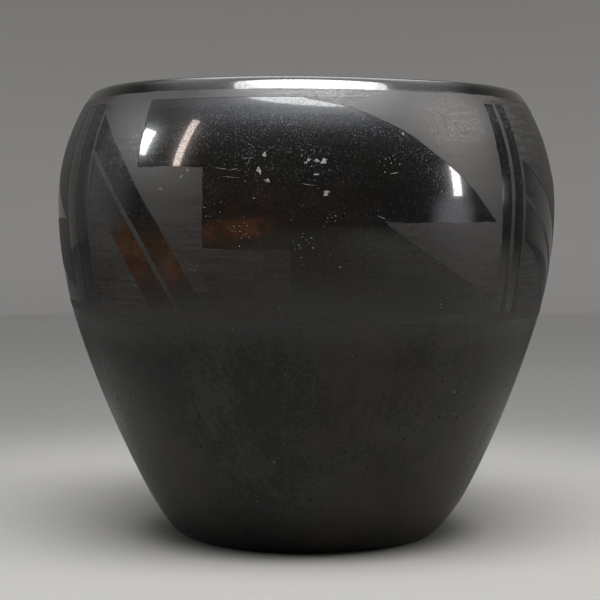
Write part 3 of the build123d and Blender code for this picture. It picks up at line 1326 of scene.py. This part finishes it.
@dataclass(frozen=True)
class PanelDrawing:
    """One panel's drawing, from the middle of its left divider to the middle of the next one.

    Points are shares across the panel and up the field between the borders.
    """

    surface: JarSurface
    field_low: float
    field_high: float
    left: float
    right: float
    left_stripe: float
    right_stripe: float
    slant_drop: float
    line_width: float = 1.3 * MM
    slant_line_width: float = 1.0 * MM
    corner_slant: tuple[Share, Share] = ((0.085, 0.51), (0.225, 0.0))
    fine_slant: tuple[Share, Share] = ((0.063, 0.755), (0.293, 0.0))
    stripe_slant: tuple[Share, Share] = ((0.075, 0.92), (0.354, 0.0))
    step_edges: tuple[float, ...] = (0.208, 0.355, 0.522)
    step_levels: tuple[float, ...] = (1.0, 0.668, 0.291, 0.0)
    wing_points: tuple[Share, ...] = ((0.526, 1.0), (0.773, 0.80), (0.950, 0.424))
    wedge_start: float = 0.696
    wedge_end: Share = (0.964, 0.065)

    def turn(self, width: float) -> float:
        """Angle that a width takes up at the girth."""
        return width / self.surface.outline.girth_radius

    def inner_left(self) -> float:
        """Angle where the panel's field starts, past the divider's stripe and edge line."""
        return self.left + self.turn(1.5 * self.line_width + self.left_stripe)

    def inner_right(self) -> float:
        """Angle where the panel's field ends, before the next divider's stripe."""
        return self.right - self.turn(0.5 * self.line_width + self.right_stripe)

    def angle(self, share: float) -> float:
        """Angle at a share across the panel."""
        return self.left + share * (self.right - self.left)

    def height(self, share: float) -> float:
        """Height at a share up the field."""
        return self.field_low + share * (self.field_high - self.field_low)

    def drawn(self, point: Share) -> tuple[float, float]:
        """Find where a point falls on a plane that faces the panel.

        Args:
            point: Shares across the panel and up the field.

        Returns:
            Radius times sine of the angle from the panel's middle, and height.
        """
        tall = self.height(point[1])
        radius = float(self.surface.radius_at(tall))
        return radius * math.sin(self.angle(point[0]) - (self.left + self.right) / 2), tall

    def seen_at(self, across: np.ndarray, heights: np.ndarray) -> np.ndarray:
        """Angles at which the facing plane's places fall on the jar: the arcsine of across by radius."""
        ratio = np.clip(across / self.surface.radius_at(heights), -1.0, 1.0)
        return (self.left + self.right) / 2 + np.arcsin(ratio)

    def upright(self, angle: float) -> Edge:
        """Edge that runs straight up the jar."""
        return lambda heights: np.full_like(heights, angle)

    def divider(self, half: float) -> tuple[Edge, Edge]:
        """Edges of the divider line, half its width to each side of the panel's left bound."""
        return self.upright(self.left - half), self.upright(self.left + half)

    def slant(self, ends: tuple[Share, Share], shift: float = 0.0) -> Edge:
        """Edge that runs straight across the facing plane.

        Args:
            ends: Two points on it, upper and lower.
            shift: How far it is moved to its upper right.

        Returns:
            The edge, kept inside the panel's left side.
        """
        (x0, z0), (x1, z1) = self.drawn((ends[0][0], ends[0][1] - self.slant_drop)), self.drawn(ends[1])
        lengthened = shift * math.hypot(x1 - x0, z1 - z0) / (z0 - z1)

        def edge(heights: np.ndarray) -> np.ndarray:
            """Angle of the slant at each height."""
            across = x0 + (x1 - x0) * (heights - z0) / (z1 - z0) + lengthened
            return np.maximum(self.seen_at(across, heights), self.inner_left())

        return edge

    def wing(self) -> Edge:
        """Edge along the wing: the circle through three points of the facing plane.

        Returns:
            The edge, on the circle's right side.
        """
        (x0, z0), (x1, z1), (x2, z2) = (self.drawn(point) for point in self.wing_points)
        sides = np.array([[x1 - x0, z1 - z0], [x2 - x0, z2 - z0]])
        halves = 0.5 * np.array([x1**2 - x0**2 + z1**2 - z0**2, x2**2 - x0**2 + z2**2 - z0**2])
        centre = np.linalg.solve(sides, halves)
        radius = math.hypot(x0 - centre[0], z0 - centre[1])

        def edge(heights: np.ndarray) -> np.ndarray:
            """Angle of the wing at each height."""
            across = centre[0] + np.sqrt(np.maximum(radius**2 - (heights - centre[1]) ** 2, 0.0))
            return self.seen_at(across, heights)

        return edge

    def fields(self) -> dict[str, list[PaintedField]]:
        """List the panel's painted fields.

        Returns:
            Each piece's name in the CAD, with the stretches that it is painted in.
        """
        low, high = self.field_low, self.field_high
        line = self.turn(self.line_width)
        first, last = self.upright(self.inner_left()), self.upright(self.inner_right())
        half = self.slant_line_width / 2
        levels = [self.height(share) for share in self.step_levels]
        tip = self.height(self.wing_points[-1][1])
        wedge = ((self.wedge_start, self.wing_points[-1][1] + self.slant_drop), self.wedge_end)
        return {
            "divider_line": [PaintedField(*self.divider(line / 2), low, high)],
            "edge_line": [PaintedField(self.upright(self.inner_left() - line), first, low, high)],
            "corner_field": [PaintedField(first, self.slant(self.corner_slant), low, high)],
            "slant_line": [
                PaintedField(self.slant(self.fine_slant, -half), self.slant(self.fine_slant, half), low, high)
            ],
            "step_field": [
                PaintedField(self.slant(self.stripe_slant), self.upright(self.angle(edge)), bottom, top)
                for edge, top, bottom in zip(self.step_edges, levels, levels[1:])
            ],
            "wing_field": [PaintedField(self.wing(), last, tip, high)],
            "wedge_field": [PaintedField(self.slant(wedge), last, low, tip)],
        }


@dataclass
class PaintedBand(SubAssembly):
    """The matte band round the shoulder: two borders and three panels of fields and lines."""

    surface: JarSurface
    finish: bpy.types.Material
    brush: Brush = Brush()
    below_lip: float = 1.4 * MM
    band_height: float = 46.5 * MM
    border_width: float = 1.7 * MM
    border_rise: float = 0.004 * MM
    border_rows: int = 5
    slope: float = 1.0 * MM
    dividers: tuple[float, ...] = (math.radians(-60.3), math.radians(48.9), math.radians(174.5))
    stripe_widths: tuple[float, ...] = (4.9 * MM, 3.2 * MM, 3.9 * MM)
    slant_drops: tuple[float, ...] = (0.0, 0.23, 0.08)
    columns: int = 384
    border_seeds: tuple[int, int] = (1, 3)
    panel_seed: int = 1000
    field_seed: int = 100
    stretch_seed: int = 10

    def top(self) -> float:
        """Height of the band's upper edge."""
        return float(self.surface.outline.lip_outer()[1]) - self.below_lip

    def bottom(self) -> float:
        """Height of the band's lower edge."""
        return self.top() - self.band_height

    def sloped(self, angles: np.ndarray, heights: np.ndarray) -> np.ndarray:
        """Let the band's lower parts sink on the right: slope times sine, dying out at the upper border."""
        share = np.clip((self.top() - heights) / self.band_height, 0.0, 1.0)
        return heights - self.slope * np.sin(angles) * share

    def border(self, name: str, low: float, high: float, seed: int) -> None:
        """Paint a border all the way round, as a ring with a flat section and wavering edges.

        The waver dies out where the ring closes, as the root of the sine of half the angle.

        Args:
            name: Name of its CAD node.
            low: Height of its lower edge.
            high: Height of its upper edge.
            seed: Which stray its edges take.
        """
        angles = even_angles(self.columns)
        brush, along = self.brush, angles * self.surface.outline.girth_radius
        closing = np.sqrt(np.sin(angles / 2))
        low_edge = low + closing * brush.wander(along, seed)
        high_edge = high + closing * brush.wander(along, seed + 1)
        up = np.linspace(0.0, 1.0, self.border_rows)
        share = np.concatenate([up, up[::-1]])[:, None]
        lift = np.repeat([brush.thickness + self.border_rise, -brush.bed], self.border_rows)[:, None]
        heights = low_edge + share * (high_edge - low_edge)
        points = self.surface.points(angles, self.sloped(angles, heights), lift)
        faces = grid_quads(len(share), self.columns, True, True)
        self.add(name, points, faces, self.finish, Slot.MATTE_SLIP)

    def span(self, painted: PaintedField) -> np.ndarray:
        """Find the heights between which a stretch is painted.

        Where its edges close in on each other it stops at the brush's finest line. Elsewhere it runs a little
        under its neighbours.

        Args:
            painted: The stretch.

        Returns:
            Its lowest and highest height.
        """
        brush, limits = self.brush, np.array([painted.low, painted.high])
        probe = np.linspace(*limits, brush.probes)
        widths = (painted.right(probe) - painted.left(probe)) * self.surface.outline.girth_radius
        ends = probe[widths > brush.finest][[0, -1]]
        under = np.array([-brush.overlap, brush.overlap])
        return ends + under * (np.abs(ends - limits) < TINY)

    def stretch(self, painted: PaintedField, seed: int) -> tuple[np.ndarray, np.ndarray]:
        """Work out one stretch of paint as a closed slab ruled between its two edges.

        A point's angle is the left edge's plus its share across times the width there. The edges waver less
        where the stretch is narrow.

        Args:
            painted: The stretch.
            seed: Which stray its edges take.

        Returns:
            The slab's points and faces.
        """
        brush, girth = self.brush, self.surface.outline.girth_radius
        low, high = self.span(painted)
        rows = 2 + int((high - low) / brush.step)
        heights = np.linspace(low, high, rows)
        drawn = np.clip(heights, painted.low, painted.high)
        left, right = painted.left(drawn), painted.right(drawn)
        width = np.maximum(right - left, 0.0) * girth
        hold = np.clip(width / brush.steady_width, brush.least_waver, 1.0)
        left = left + hold * brush.wander(heights, seed) / girth
        right = right + hold * brush.wander(heights, seed + 1) / girth
        columns = brush.least_columns + int(width.max() / brush.step)
        angles = left[:, None] + np.linspace(0.0, 1.0, columns) * (right - left)[:, None]
        rising = np.linspace(0.0, 1.0, rows)[:, None]
        upper, lower = (brush.wander(angles * girth, number) for number in (seed + 2, seed + 3))
        tall = self.sloped(angles, heights[:, None] + rising * upper + (1.0 - rising) * lower)
        skins = [self.surface.points(angles, tall, lift) for lift in (brush.thickness, -brush.bed)]
        return np.concatenate(skins).reshape(-1, 3), slab_quads(rows, columns)

    def paint(self, name: str, stretches: list[PaintedField], seed: int) -> None:
        """Paint a field as one piece.

        Args:
            name: Name of its CAD node.
            stretches: The stretches that it is painted in.
            seed: Which stray the edges of the first stretch take.
        """
        seeds = range(seed, seed + self.stretch_seed * len(stretches), self.stretch_seed)
        slabs = [self.stretch(painted, own) for painted, own in zip(stretches, seeds)]
        points = [some for some, _ in slabs]
        starts = np.cumsum([0] + [len(some) for some in points])
        faces = [quads + start for (_, quads), start in zip(slabs, starts)]
        self.add(name, np.concatenate(points), np.concatenate(faces), self.finish, Slot.MATTE_SLIP)

    def build(self) -> None:
        """Paint the two borders, then each panel's fields."""
        low, high = self.bottom() + self.border_width, self.top() - self.border_width
        self.border("lower_border", self.bottom(), low, self.border_seeds[0])
        self.border("upper_border", high, self.top(), self.border_seeds[1])
        ends = self.dividers[1:] + (self.dividers[0] + math.tau,)
        end_stripes = self.stripe_widths[1:] + self.stripe_widths[:1]
        layout = zip(self.dividers, ends, self.stripe_widths, end_stripes, self.slant_drops)
        for number, panel in enumerate(layout, start=1):
            drawing = PanelDrawing(self.surface, low, high, *panel)
            for order, (name, stretches) in enumerate(drawing.fields().items()):
                seed = self.panel_seed * number + self.field_seed * order
                self.paint(f"panel_{number}_{name}", stretches, seed)


class Mark(NamedTuple):
    """A small mark: its place in degrees and millimetres, its length and width, and its turn from level."""

    angle: float
    height: float
    length: float
    width: float
    turn: float


class Rub(NamedTuple):
    """A rubbed patch: its middle in degrees and millimetres, its reach, the specks in it and how they lie."""

    angle: float
    height: float
    reach: float
    specks: int
    turn: float


@dataclass
class WearMarks(SubAssembly):
    """Old knocks: flakes chipped out of the burnish, scratches round them, and specks all over."""

    surface: JarSurface
    finish: bpy.types.Material
    chips: tuple[Mark, ...] = (
        Mark(-8.6, 84.9, 1.0, 0.8, 20.0),
        Mark(-9.6, 81.8, 1.4, 0.9, -60.0),
        Mark(-7.9, 79.8, 1.2, 0.7, -5.0),
        Mark(0.3, 83.9, 0.8, 0.6, 40.0),
        Mark(-0.3, 83.3, 0.6, 0.5, 0.0),
        Mark(1.9, 83.7, 1.0, 0.7, -30.0),
        Mark(3.3, 83.6, 1.4, 1.0, 25.0),
        Mark(1.8, 81.0, 1.1, 0.35, 0.0),
        Mark(3.7, 77.4, 1.3, 1.1, 15.0),
        Mark(-24.9, 81.9, 0.7, 0.5, 30.0),
        Mark(-26.3, 80.7, 0.8, 0.4, 25.0),
        Mark(-31.2, 78.3, 0.7, 0.5, 0.0),
        Mark(20.2, 89.3, 0.8, 0.4, -50.0),
    )
    scratches: tuple[Mark, ...] = (
        Mark(-17.4, 82.2, 3.2, 0.08, -8.0),
        Mark(-14.9, 82.0, 2.2, 0.10, 10.0),
        Mark(-11.4, 86.7, 2.0, 0.07, -32.0),
        Mark(-11.6, 83.9, 3.2, 0.06, 68.0),
        Mark(-12.1, 84.2, 2.4, 0.08, 0.0),
        Mark(-15.5, 80.5, 4.2, 0.06, -4.0),
        Mark(0.5, 79.0, 2.8, 0.09, -7.0),
        Mark(17.6, 81.4, 2.0, 0.12, 10.0),
        Mark(14.7, 72.7, 2.1, 0.10, -20.0),
        Mark(-5.8, 54.4, 2.2, 0.07, -66.0),
        Mark(-5.7, 52.4, 1.9, 0.08, 62.0),
        Mark(50.4, 53.6, 3.0, 0.07, 82.0),
    )
    rubs: tuple[Rub, ...] = (
        Rub(17.0, 83.0, 2.4, 14, 70.0),
        Rub(11.0, 89.0, 4.5, 16, 0.0),
        Rub(-19.4, 74.5, 2.2, 9, 0.0),
        Rub(28.0, 79.5, 3.6, 18, 85.0),
        Rub(-13.0, 82.5, 5.0, 18, -10.0),
        Rub(0.5, 83.0, 4.5, 12, 20.0),
        Rub(5.6, 72.2, 1.4, 4, 0.0),
        Rub(1.5, 69.5, 6.0, 30, 0.0),
        Rub(-13.5, 70.0, 3.5, 22, 0.0),
        Rub(-24.0, 62.5, 1.2, 6, 40.0),
        Rub(29.4, 54.6, 1.3, 4, -30.0),
        Rub(38.0, 37.0, 8.0, 26, 80.0),
    )
    rub_sizes: tuple[float, float] = (0.05, 0.15)
    rub_stray: float = 0.5
    rub_turn: float = 40.0
    rub_stretch: float = 2.5
    specks: int = 90
    speck_sizes: tuple[float, float] = (0.10, 0.42)
    speck_power: int = 3
    speck_flatness: float = 0.7
    speck_heights: tuple[float, float] = (8.0, 96.0)
    section_reach: tuple[float, ...] = (0.0, 1.0, 1.0, 0.8, 0.4, 0.0)
    section_lift: tuple[float, ...] = (-0.03, -0.03, 0.06, 0.068, 0.076, 0.08)
    outline_sines: int = 4
    outline_stray: float = 0.16
    outline_shrink: float = 0.08
    columns: int = 16
    seed: int = 23

    def scattered(self, chance: np.random.Generator) -> list[Mark]:
        """Scatter specks over the whole jar, most of them small: sizes go with a power of an even chance.

        Args:
            chance: Source of the random places.

        Returns:
            The specks.
        """
        least, most = self.speck_sizes
        angles = chance.uniform(-180.0, 180.0, self.specks)
        heights = chance.uniform(*self.speck_heights, self.specks)
        sizes = least + (most - least) * chance.random(self.specks) ** self.speck_power
        return [Mark(a, h, s, self.speck_flatness * s, 0.0) for a, h, s in zip(angles, heights, sizes)]

    def rubbed(self, rub: Rub, chance: np.random.Generator) -> list[Mark]:
        """Scatter a rubbed patch's specks, closest in its middle: places and turns stray by the normal curve.

        Args:
            rub: The patch.
            chance: Source of the random places.

        Returns:
            The patch's specks, each longer than wide.
        """
        across, up, stray = chance.normal(0.0, self.rub_stray, (3, rub.specks))
        radius = float(self.surface.radius_at(rub.height * MM))
        angles = rub.angle + np.degrees(rub.reach * MM * across / radius)
        heights = rub.height + rub.reach * up
        sizes = chance.uniform(*self.rub_sizes, rub.specks)
        turns = rub.turn + self.rub_turn * stray
        return [Mark(a, h, self.rub_stretch * s, s, t) for a, h, s, t in zip(angles, heights, sizes, turns)]

    def flake(self, mark: Mark, chance: np.random.Generator) -> np.ndarray:
        """Work out one flake as a low closed scab on the surface.

        Its outline is an ellipse whose radius strays by a few sines at random phases. The section gives, for
        each row, the share of that radius and the lift in millimetres: from the middle of its underside out
        to the rim, over it, and back to the middle of its top, which swells a little.

        Args:
            mark: Where the flake lies and how large it is.
            chance: Source of its uneven outline.

        Returns:
            Points as rows by columns by three.
        """
        angles = even_angles(self.columns)
        phases = chance.uniform(0.0, math.tau, self.outline_sines)
        sines = [np.sin(lobes * angles + phase) for lobes, phase in enumerate(phases, start=2)]
        stray = self.outline_stray * np.sum(sines, axis=0) - self.outline_shrink
        reach = 0.5 * MM * np.array(self.section_reach)[:, None] * (1.0 + stray)
        lift = MM * np.array(self.section_lift)[:, None]
        along = mark.length * reach * np.cos(angles)
        across = mark.width * reach * np.sin(angles)
        turn = math.radians(mark.turn)
        heights = mark.height * MM + along * math.sin(turn) + across * math.cos(turn)
        right = along * math.cos(turn) - across * math.sin(turn)
        places = math.radians(mark.angle) + right / self.surface.radius_at(heights)
        return self.surface.points(places, heights, lift)

    def build(self) -> None:
        """Make all the marks as one piece."""
        chance = np.random.default_rng(self.seed)
        marks = [*self.chips, *self.scratches, *self.scattered(chance)]
        for rub in self.rubs:
            marks.extend(self.rubbed(rub, chance))
        points = np.stack([self.flake(mark, chance) for mark in marks])
        rows = len(self.section_reach)
        one = grid_quads(rows, self.columns, False, True)
        starts = np.arange(len(marks))[:, None, None] * rows * self.columns
        self.add("wear_marks", points, (one[None] + starts).reshape(-1, 4), self.finish, Slot.BURNISHED_SLIP)


# Floor, lamps and camera


def direction(azimuth: float, elevation: float) -> Vector:
    """Unit vector towards an azimuth from the front and an elevation, in degrees."""
    rise = math.radians(elevation)
    return Vector(around(math.cos(rise), math.radians(azimuth), math.sin(rise)))


@dataclass(frozen=True)
class Lamp:
    """A soft lamp, placed by the direction in which the jar's shoulder sees it."""

    name: str
    azimuth: float
    elevation: float
    distance: float
    width: float
    height: float
    radiance: float
    colour: Colour = (1.0, 1.0, 1.0)
    shape: LampShape = LampShape.RECTANGLE
    facing_down: bool = False

    def light(self, target: Vector) -> None:
        """Hang the lamp: its power is radiance times pi times its area.

        Args:
            target: The point that it is aimed at.
        """
        towards = direction(self.azimuth, self.elevation)
        data = bpy.data.lights.new(self.name, "AREA")
        data.shape = self.shape.value
        data.size, data.size_y = self.width, self.height
        area = self.width * self.height * (math.pi / 4 if self.shape is LampShape.ELLIPSE else 1.0)
        data.energy = self.radiance * math.pi * area
        data.color = self.colour
        lamp = bpy.data.objects.new(self.name, data)
        lamp.location = target + self.distance * towards
        if not self.facing_down:
            lamp.rotation_euler = towards.to_track_quat("Z", "Y").to_euler()
        lamp.visible_camera = False
        bpy.context.scene.collection.objects.link(lamp)


@dataclass(frozen=True)
class Glow:
    """A soft round glow in the room: where it lies, how far it reaches and where it is full, in degrees."""

    azimuth: float
    elevation: float
    reach: float
    full: float
    colour: Colour

    def over(self, tree: NodeSketch, towards: Socket, tone: Socket) -> Socket:
        """Lay the glow over a tone: it follows the cosine of the angle from its middle.

        Args:
            tree: The room's node tree.
            towards: Direction that the room is seen in.
            tone: Colour of the room without it.

        Returns:
            Colour of the room with it.
        """
        cosine = tree.measured("DOT_PRODUCT", towards, direction(self.azimuth, self.elevation))
        ramp = (math.cos(math.radians(self.reach)), math.cos(math.radians(self.full)))
        return tree.mix(tree.fade(cosine, ramp), tone, self.colour)


@dataclass(frozen=True)
class DimRoom:
    """The room that the gloss mirrors: dark in front, dim behind, bright overhead, with two soft glows."""

    dark: Colour = (0.060, 0.060, 0.060)
    back: Colour = (0.165, 0.160, 0.154)
    back_ramp: Ramp = (0.25, 0.75)
    top: Colour = (1.45, 1.46, 1.48)
    top_ramp: Ramp = (0.61, 0.90)
    glows: tuple[Glow, ...] = (
        Glow(-102.0, 8.0, 21.6, 8.1, (0.32, 0.32, 0.32)),
        Glow(69.0, -5.0, 14.0, 0.0, (1.50, 1.55, 1.70)),
    )

    def world(self) -> bpy.types.World:
        """Make the world, whose tone depends on the direction alone.

        Returns:
            The world.
        """
        world = bpy.data.worlds.new("dim_room")
        tree = NodeSketch(world)
        towards = tree.node("ShaderNodeTexCoord", {}, {}).outputs["Generated"]
        tone = tree.mix(tree.fade(tree.along(towards, "Y"), self.back_ramp), self.dark, self.back)
        tone = tree.mix(tree.fade(tree.along(towards, "Z"), self.top_ramp), tone, self.top)
        for glow in self.glows:
            tone = glow.over(tree, towards, tone)
        shine = tree.node("ShaderNodeBackground", {}, {"Color": tone})
        tree.node("ShaderNodeOutputWorld", {}, {"Surface": shine.outputs[0]})
        return world


@dataclass(frozen=True)
class PalePaper:
    """Plain pale paper with a painted shadow right round the jar's foot and painted shade from a hand's
    breadth away from it; up the backdrop it is a little darker than near the jar.
    """

    # Painted shadow right round the foot.
    painted_foot_shadow: Colour = (0.080, 0.078, 0.074)
    pale: Colour = (0.205, 0.200, 0.190)
    # Painted shade on the floor from a hand's breadth out.
    dim: Colour = (0.112, 0.110, 0.107)
    wall: Colour = (0.180, 0.175, 0.170)
    foot_shadow_ramp: Ramp = (0.028, 0.044)
    dim_ramp: Ramp = (0.05, 0.22)
    wall_ramp: Ramp = (0.40, 1.10)
    roughness: float = 0.9
    ior: float = 1.3

    def material(self) -> bpy.types.Material:
        """Make the material: its tones follow the distance from the jar's axis.

        Returns:
            The material.
        """
        tree = FinishTree("pale_paper")
        outward = tree.from_axis(tree.place())
        # Painted shadow round the foot.
        tone = tree.mix(tree.fade(outward, self.foot_shadow_ramp), self.painted_foot_shadow, self.pale)
        # Painted shade further out.
        tone = tree.mix(tree.fade(outward, self.dim_ramp), tone, self.dim)
        tone = tree.mix(tree.fade(outward, self.wall_ramp), tone, self.wall)
        tree.connect(tree.shader, {"Base Color": tone, "Roughness": self.roughness, "IOR": self.ior})
        return tree.material


@dataclass(frozen=True)
class TableGlow:
    """The glow of a table top: brown, dim at the back, bright on the right and rusty on the left."""

    front: Colour = (0.270, 0.248, 0.212)
    back: Colour = (0.100, 0.098, 0.094)
    front_ramp: Ramp = (0.05, -0.15)
    right: Colour = (0.44, 0.42, 0.39)
    right_ramp: Ramp = (0.04, 0.22)
    right_depth: Ramp = (0.25, -0.10)
    rust: Colour = (0.23, 0.105, 0.055)
    rust_patches: Grain = Grain(11.0, 11.0, 4.0)
    rust_ramp: Ramp = (-0.14, 0.10)
    least_rust: float = 0.22
    rust_left: Ramp = (-0.11, -0.23)
    rust_depth: Ramp = (0.06, -0.06)
    rust_end: Ramp = (0.79, 0.60)
    end_ramp: Ramp = (0.79, 0.35)
    shown: Ramp = (0.09, 0.28)
    black: Colour = (0.0, 0.0, 0.0)

    def material(self, room: Colour) -> bpy.types.Material:
        """Make the material, which gives off light and mirrors none.

        Args:
            room: Colour that the table fades into, far from the jar.

        Returns:
            The material, clear near the jar.
        """
        tree = FinishTree("table_glow")
        place = tree.place()
        outward, across, deep = tree.from_axis(place), tree.along(place, "X"), tree.along(place, "Y")
        bright = tree.fade(across, self.right_ramp) * tree.fade(deep, self.right_depth)
        rusty = tree.fade(tree.noise(place, self.rust_patches), self.rust_ramp, self.least_rust)
        rusty = rusty * tree.fade(across, self.rust_left)
        rusty = rusty * tree.fade(deep, self.rust_depth) * tree.fade(outward, self.rust_end)
        tone = tree.mix(tree.fade(deep, self.front_ramp), self.back, self.front)
        tone = tree.mix(bright, tone, self.right)
        tone = tree.mix(tree.fade(outward, self.end_ramp), room, tone)
        tree.connect(
            tree.shader,
            {
                "Base Color": self.black,
                "Specular IOR Level": 0.0,
                "Alpha": tree.fade(outward, self.shown),
                "Emission Color": tree.mix(rusty, tone, self.rust),
                "Emission Strength": 1.0,
            },
        )
        return tree.material


@dataclass(frozen=True)
class Stage:
    """A pale round floor that sweeps up into a backdrop, soft lamps in a dim room, and the camera."""

    paper: PalePaper = PalePaper()
    table: TableGlow = TableGlow()
    room: DimRoom = DimRoom()
    mirrored_floor: float = 0.34
    floor_radius: float = 0.80
    floor_rows: int = 9
    cove_radius: float = 0.40
    cove_rows: int = 24
    wall_top: float = 1.6
    table_height: float = 1.5 * MM
    columns: int = 128
    aim_height: float = 85.0 * MM
    lens: float = 90.5
    sensor: float = 36.0
    nearest: float = 0.01
    eye: tuple[float, float, float] = (-1.47 * MM, -352.1 * MM, 72.6 * MM)
    downward: float = math.radians(3.12)
    lamps: tuple[Lamp, ...] = (
        Lamp("overhead", 5.5, 68.7, 0.966, 0.95, 0.60, 11.8, (0.97, 0.99, 1.0), LampShape.ELLIPSE, True),
        Lamp("overhead_heart", 7.5, 71.6, 0.949, 0.74, 0.42, 8.0, shape=LampShape.ELLIPSE, facing_down=True),
        Lamp("left_window", -82.5, 24.6, 1.035, 0.115, 0.185, 38.0, (0.94, 1.0, 1.0)),
        Lamp("left_slit", -60.2, 27.4, 1.041, 0.065, 0.41, 16.0, (1.0, 0.86, 0.78)),
        Lamp("left_fill", -101.0, 30.0, 1.1, 0.16, 0.30, 4.6),
        Lamp("left_low", -64.0, 5.0, 1.1, 0.30, 0.20, 3.0),
        Lamp("right_slit", 69.2, 11.0, 1.044, 0.080, 0.27, 24.0, (1.0, 0.97, 0.95)),
        Lamp("right_fill", 80.0, 36.0, 1.1, 0.48, 0.34, 12.5, (1.0, 0.98, 0.96)),
        Lamp("right_low", 92.0, 5.0, 1.1, 0.14, 0.16, 6.0),
        Lamp("rear_fill", 178.0, 52.0, 1.1, 0.70, 0.50, 1.6),
    )

    def level(self, inner: float, outer: float, height: float) -> np.ndarray:
        """Section of a level ring from one radius to another."""
        radii = np.linspace(inner, outer, self.floor_rows)
        return np.stack([radii, np.full_like(radii, height)], axis=-1)

    def ground(self, name: str, section: np.ndarray, finish: bpy.types.Material) -> bpy.types.Object:
        """Turn a section of the floor or backdrop about the jar's axis.

        Args:
            name: Name of the object.
            section: Radius and height of its points, from the middle out.
            finish: Its material.

        Returns:
            The surface.
        """
        angles = np.linspace(0.0, math.tau, self.columns + 1)
        points = around(section[:, :1], angles, section[:, 1:])
        made = mesh_object(name, points, grid_quads(len(section), len(angles))[:, ::-1], math.pi)
        made.data.materials.append(finish)
        return made

    def lay_floor(self) -> None:
        """Lay the floor and raise the backdrop on a quarter circle.

        The floor shows in the gloss only near the jar, where the table is clear. The backdrop, which would
        wash out the dark room, doesn't show in it at all.
        """
        paper = self.paper.material()
        self.ground("floor", self.level(0.0, self.mirrored_floor, 0.0), paper)
        cove = Arc(self.floor_radius, self.cove_radius, self.cove_radius, -math.pi / 2, 0.0)
        bend = cove.points(np.linspace(cove.low, cove.high, self.cove_rows), 0.0)
        edge = np.array([[self.mirrored_floor, 0.0]])
        wall = np.array([[self.floor_radius + self.cove_radius, self.wall_top]])
        self.ground("backdrop", np.concatenate([edge, bend, wall]), paper).visible_glossy = False

    def lay_table(self) -> None:
        """Lay a table top just over the floor, which only the gloss sees."""
        section = self.level(self.table.shown[0], self.floor_radius, self.table_height)
        table = self.ground("table", section, self.table.material(self.room.dark))
        table.visible_camera = False
        table.visible_diffuse = False
        table.visible_shadow = False

    def set_camera(self) -> None:
        """Set the camera where the photograph was taken from."""
        data = bpy.data.cameras.new("camera")
        data.lens = self.lens
        data.sensor_width = self.sensor
        data.clip_start = self.nearest
        camera = bpy.data.objects.new("camera", data)
        camera.location = self.eye
        camera.rotation_euler = (math.pi / 2 - self.downward, 0.0, 0.0)
        bpy.context.scene.collection.objects.link(camera)
        bpy.context.scene.camera = camera
        bpy.context.scene.view_settings.view_transform = "Standard"

    def build(self) -> None:
        """Lay the floor and the table, light the lamps in the room and set the camera."""
        self.lay_floor()
        self.lay_table()
        for lamp in self.lamps:
            lamp.light(Vector((0.0, 0.0, self.aim_height)))
        bpy.context.scene.world = self.room.world()
        self.set_camera()


def clear_scene() -> None:
    """Remove whatever the start-up scene holds."""
    for leftover in list(bpy.data.objects):
        bpy.data.objects.remove(leftover, do_unlink=True)


def corners(box: tuple[Vector, Vector]) -> list[list[float]]:
    """A box's two corners as plain lists."""
    return [list(corner) for corner in box]


def main() -> None:
    """Dress the jar over its CAD frame, from the clay out, and set the stage round it."""
    logging.basicConfig(level=logging.INFO, format="%(message)s")
    clear_scene()
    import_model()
    surface = JarSurface()
    ClayBody(surface, SmudgedClay().material()).build()
    SlipCoat(surface, BurnishedSlip().material()).build()
    PaintedBand(surface, MatteSlip().material()).build()
    WearMarks(surface, BareScar().material()).build()
    Stage().build()


if __name__ == "__main__":
    main()
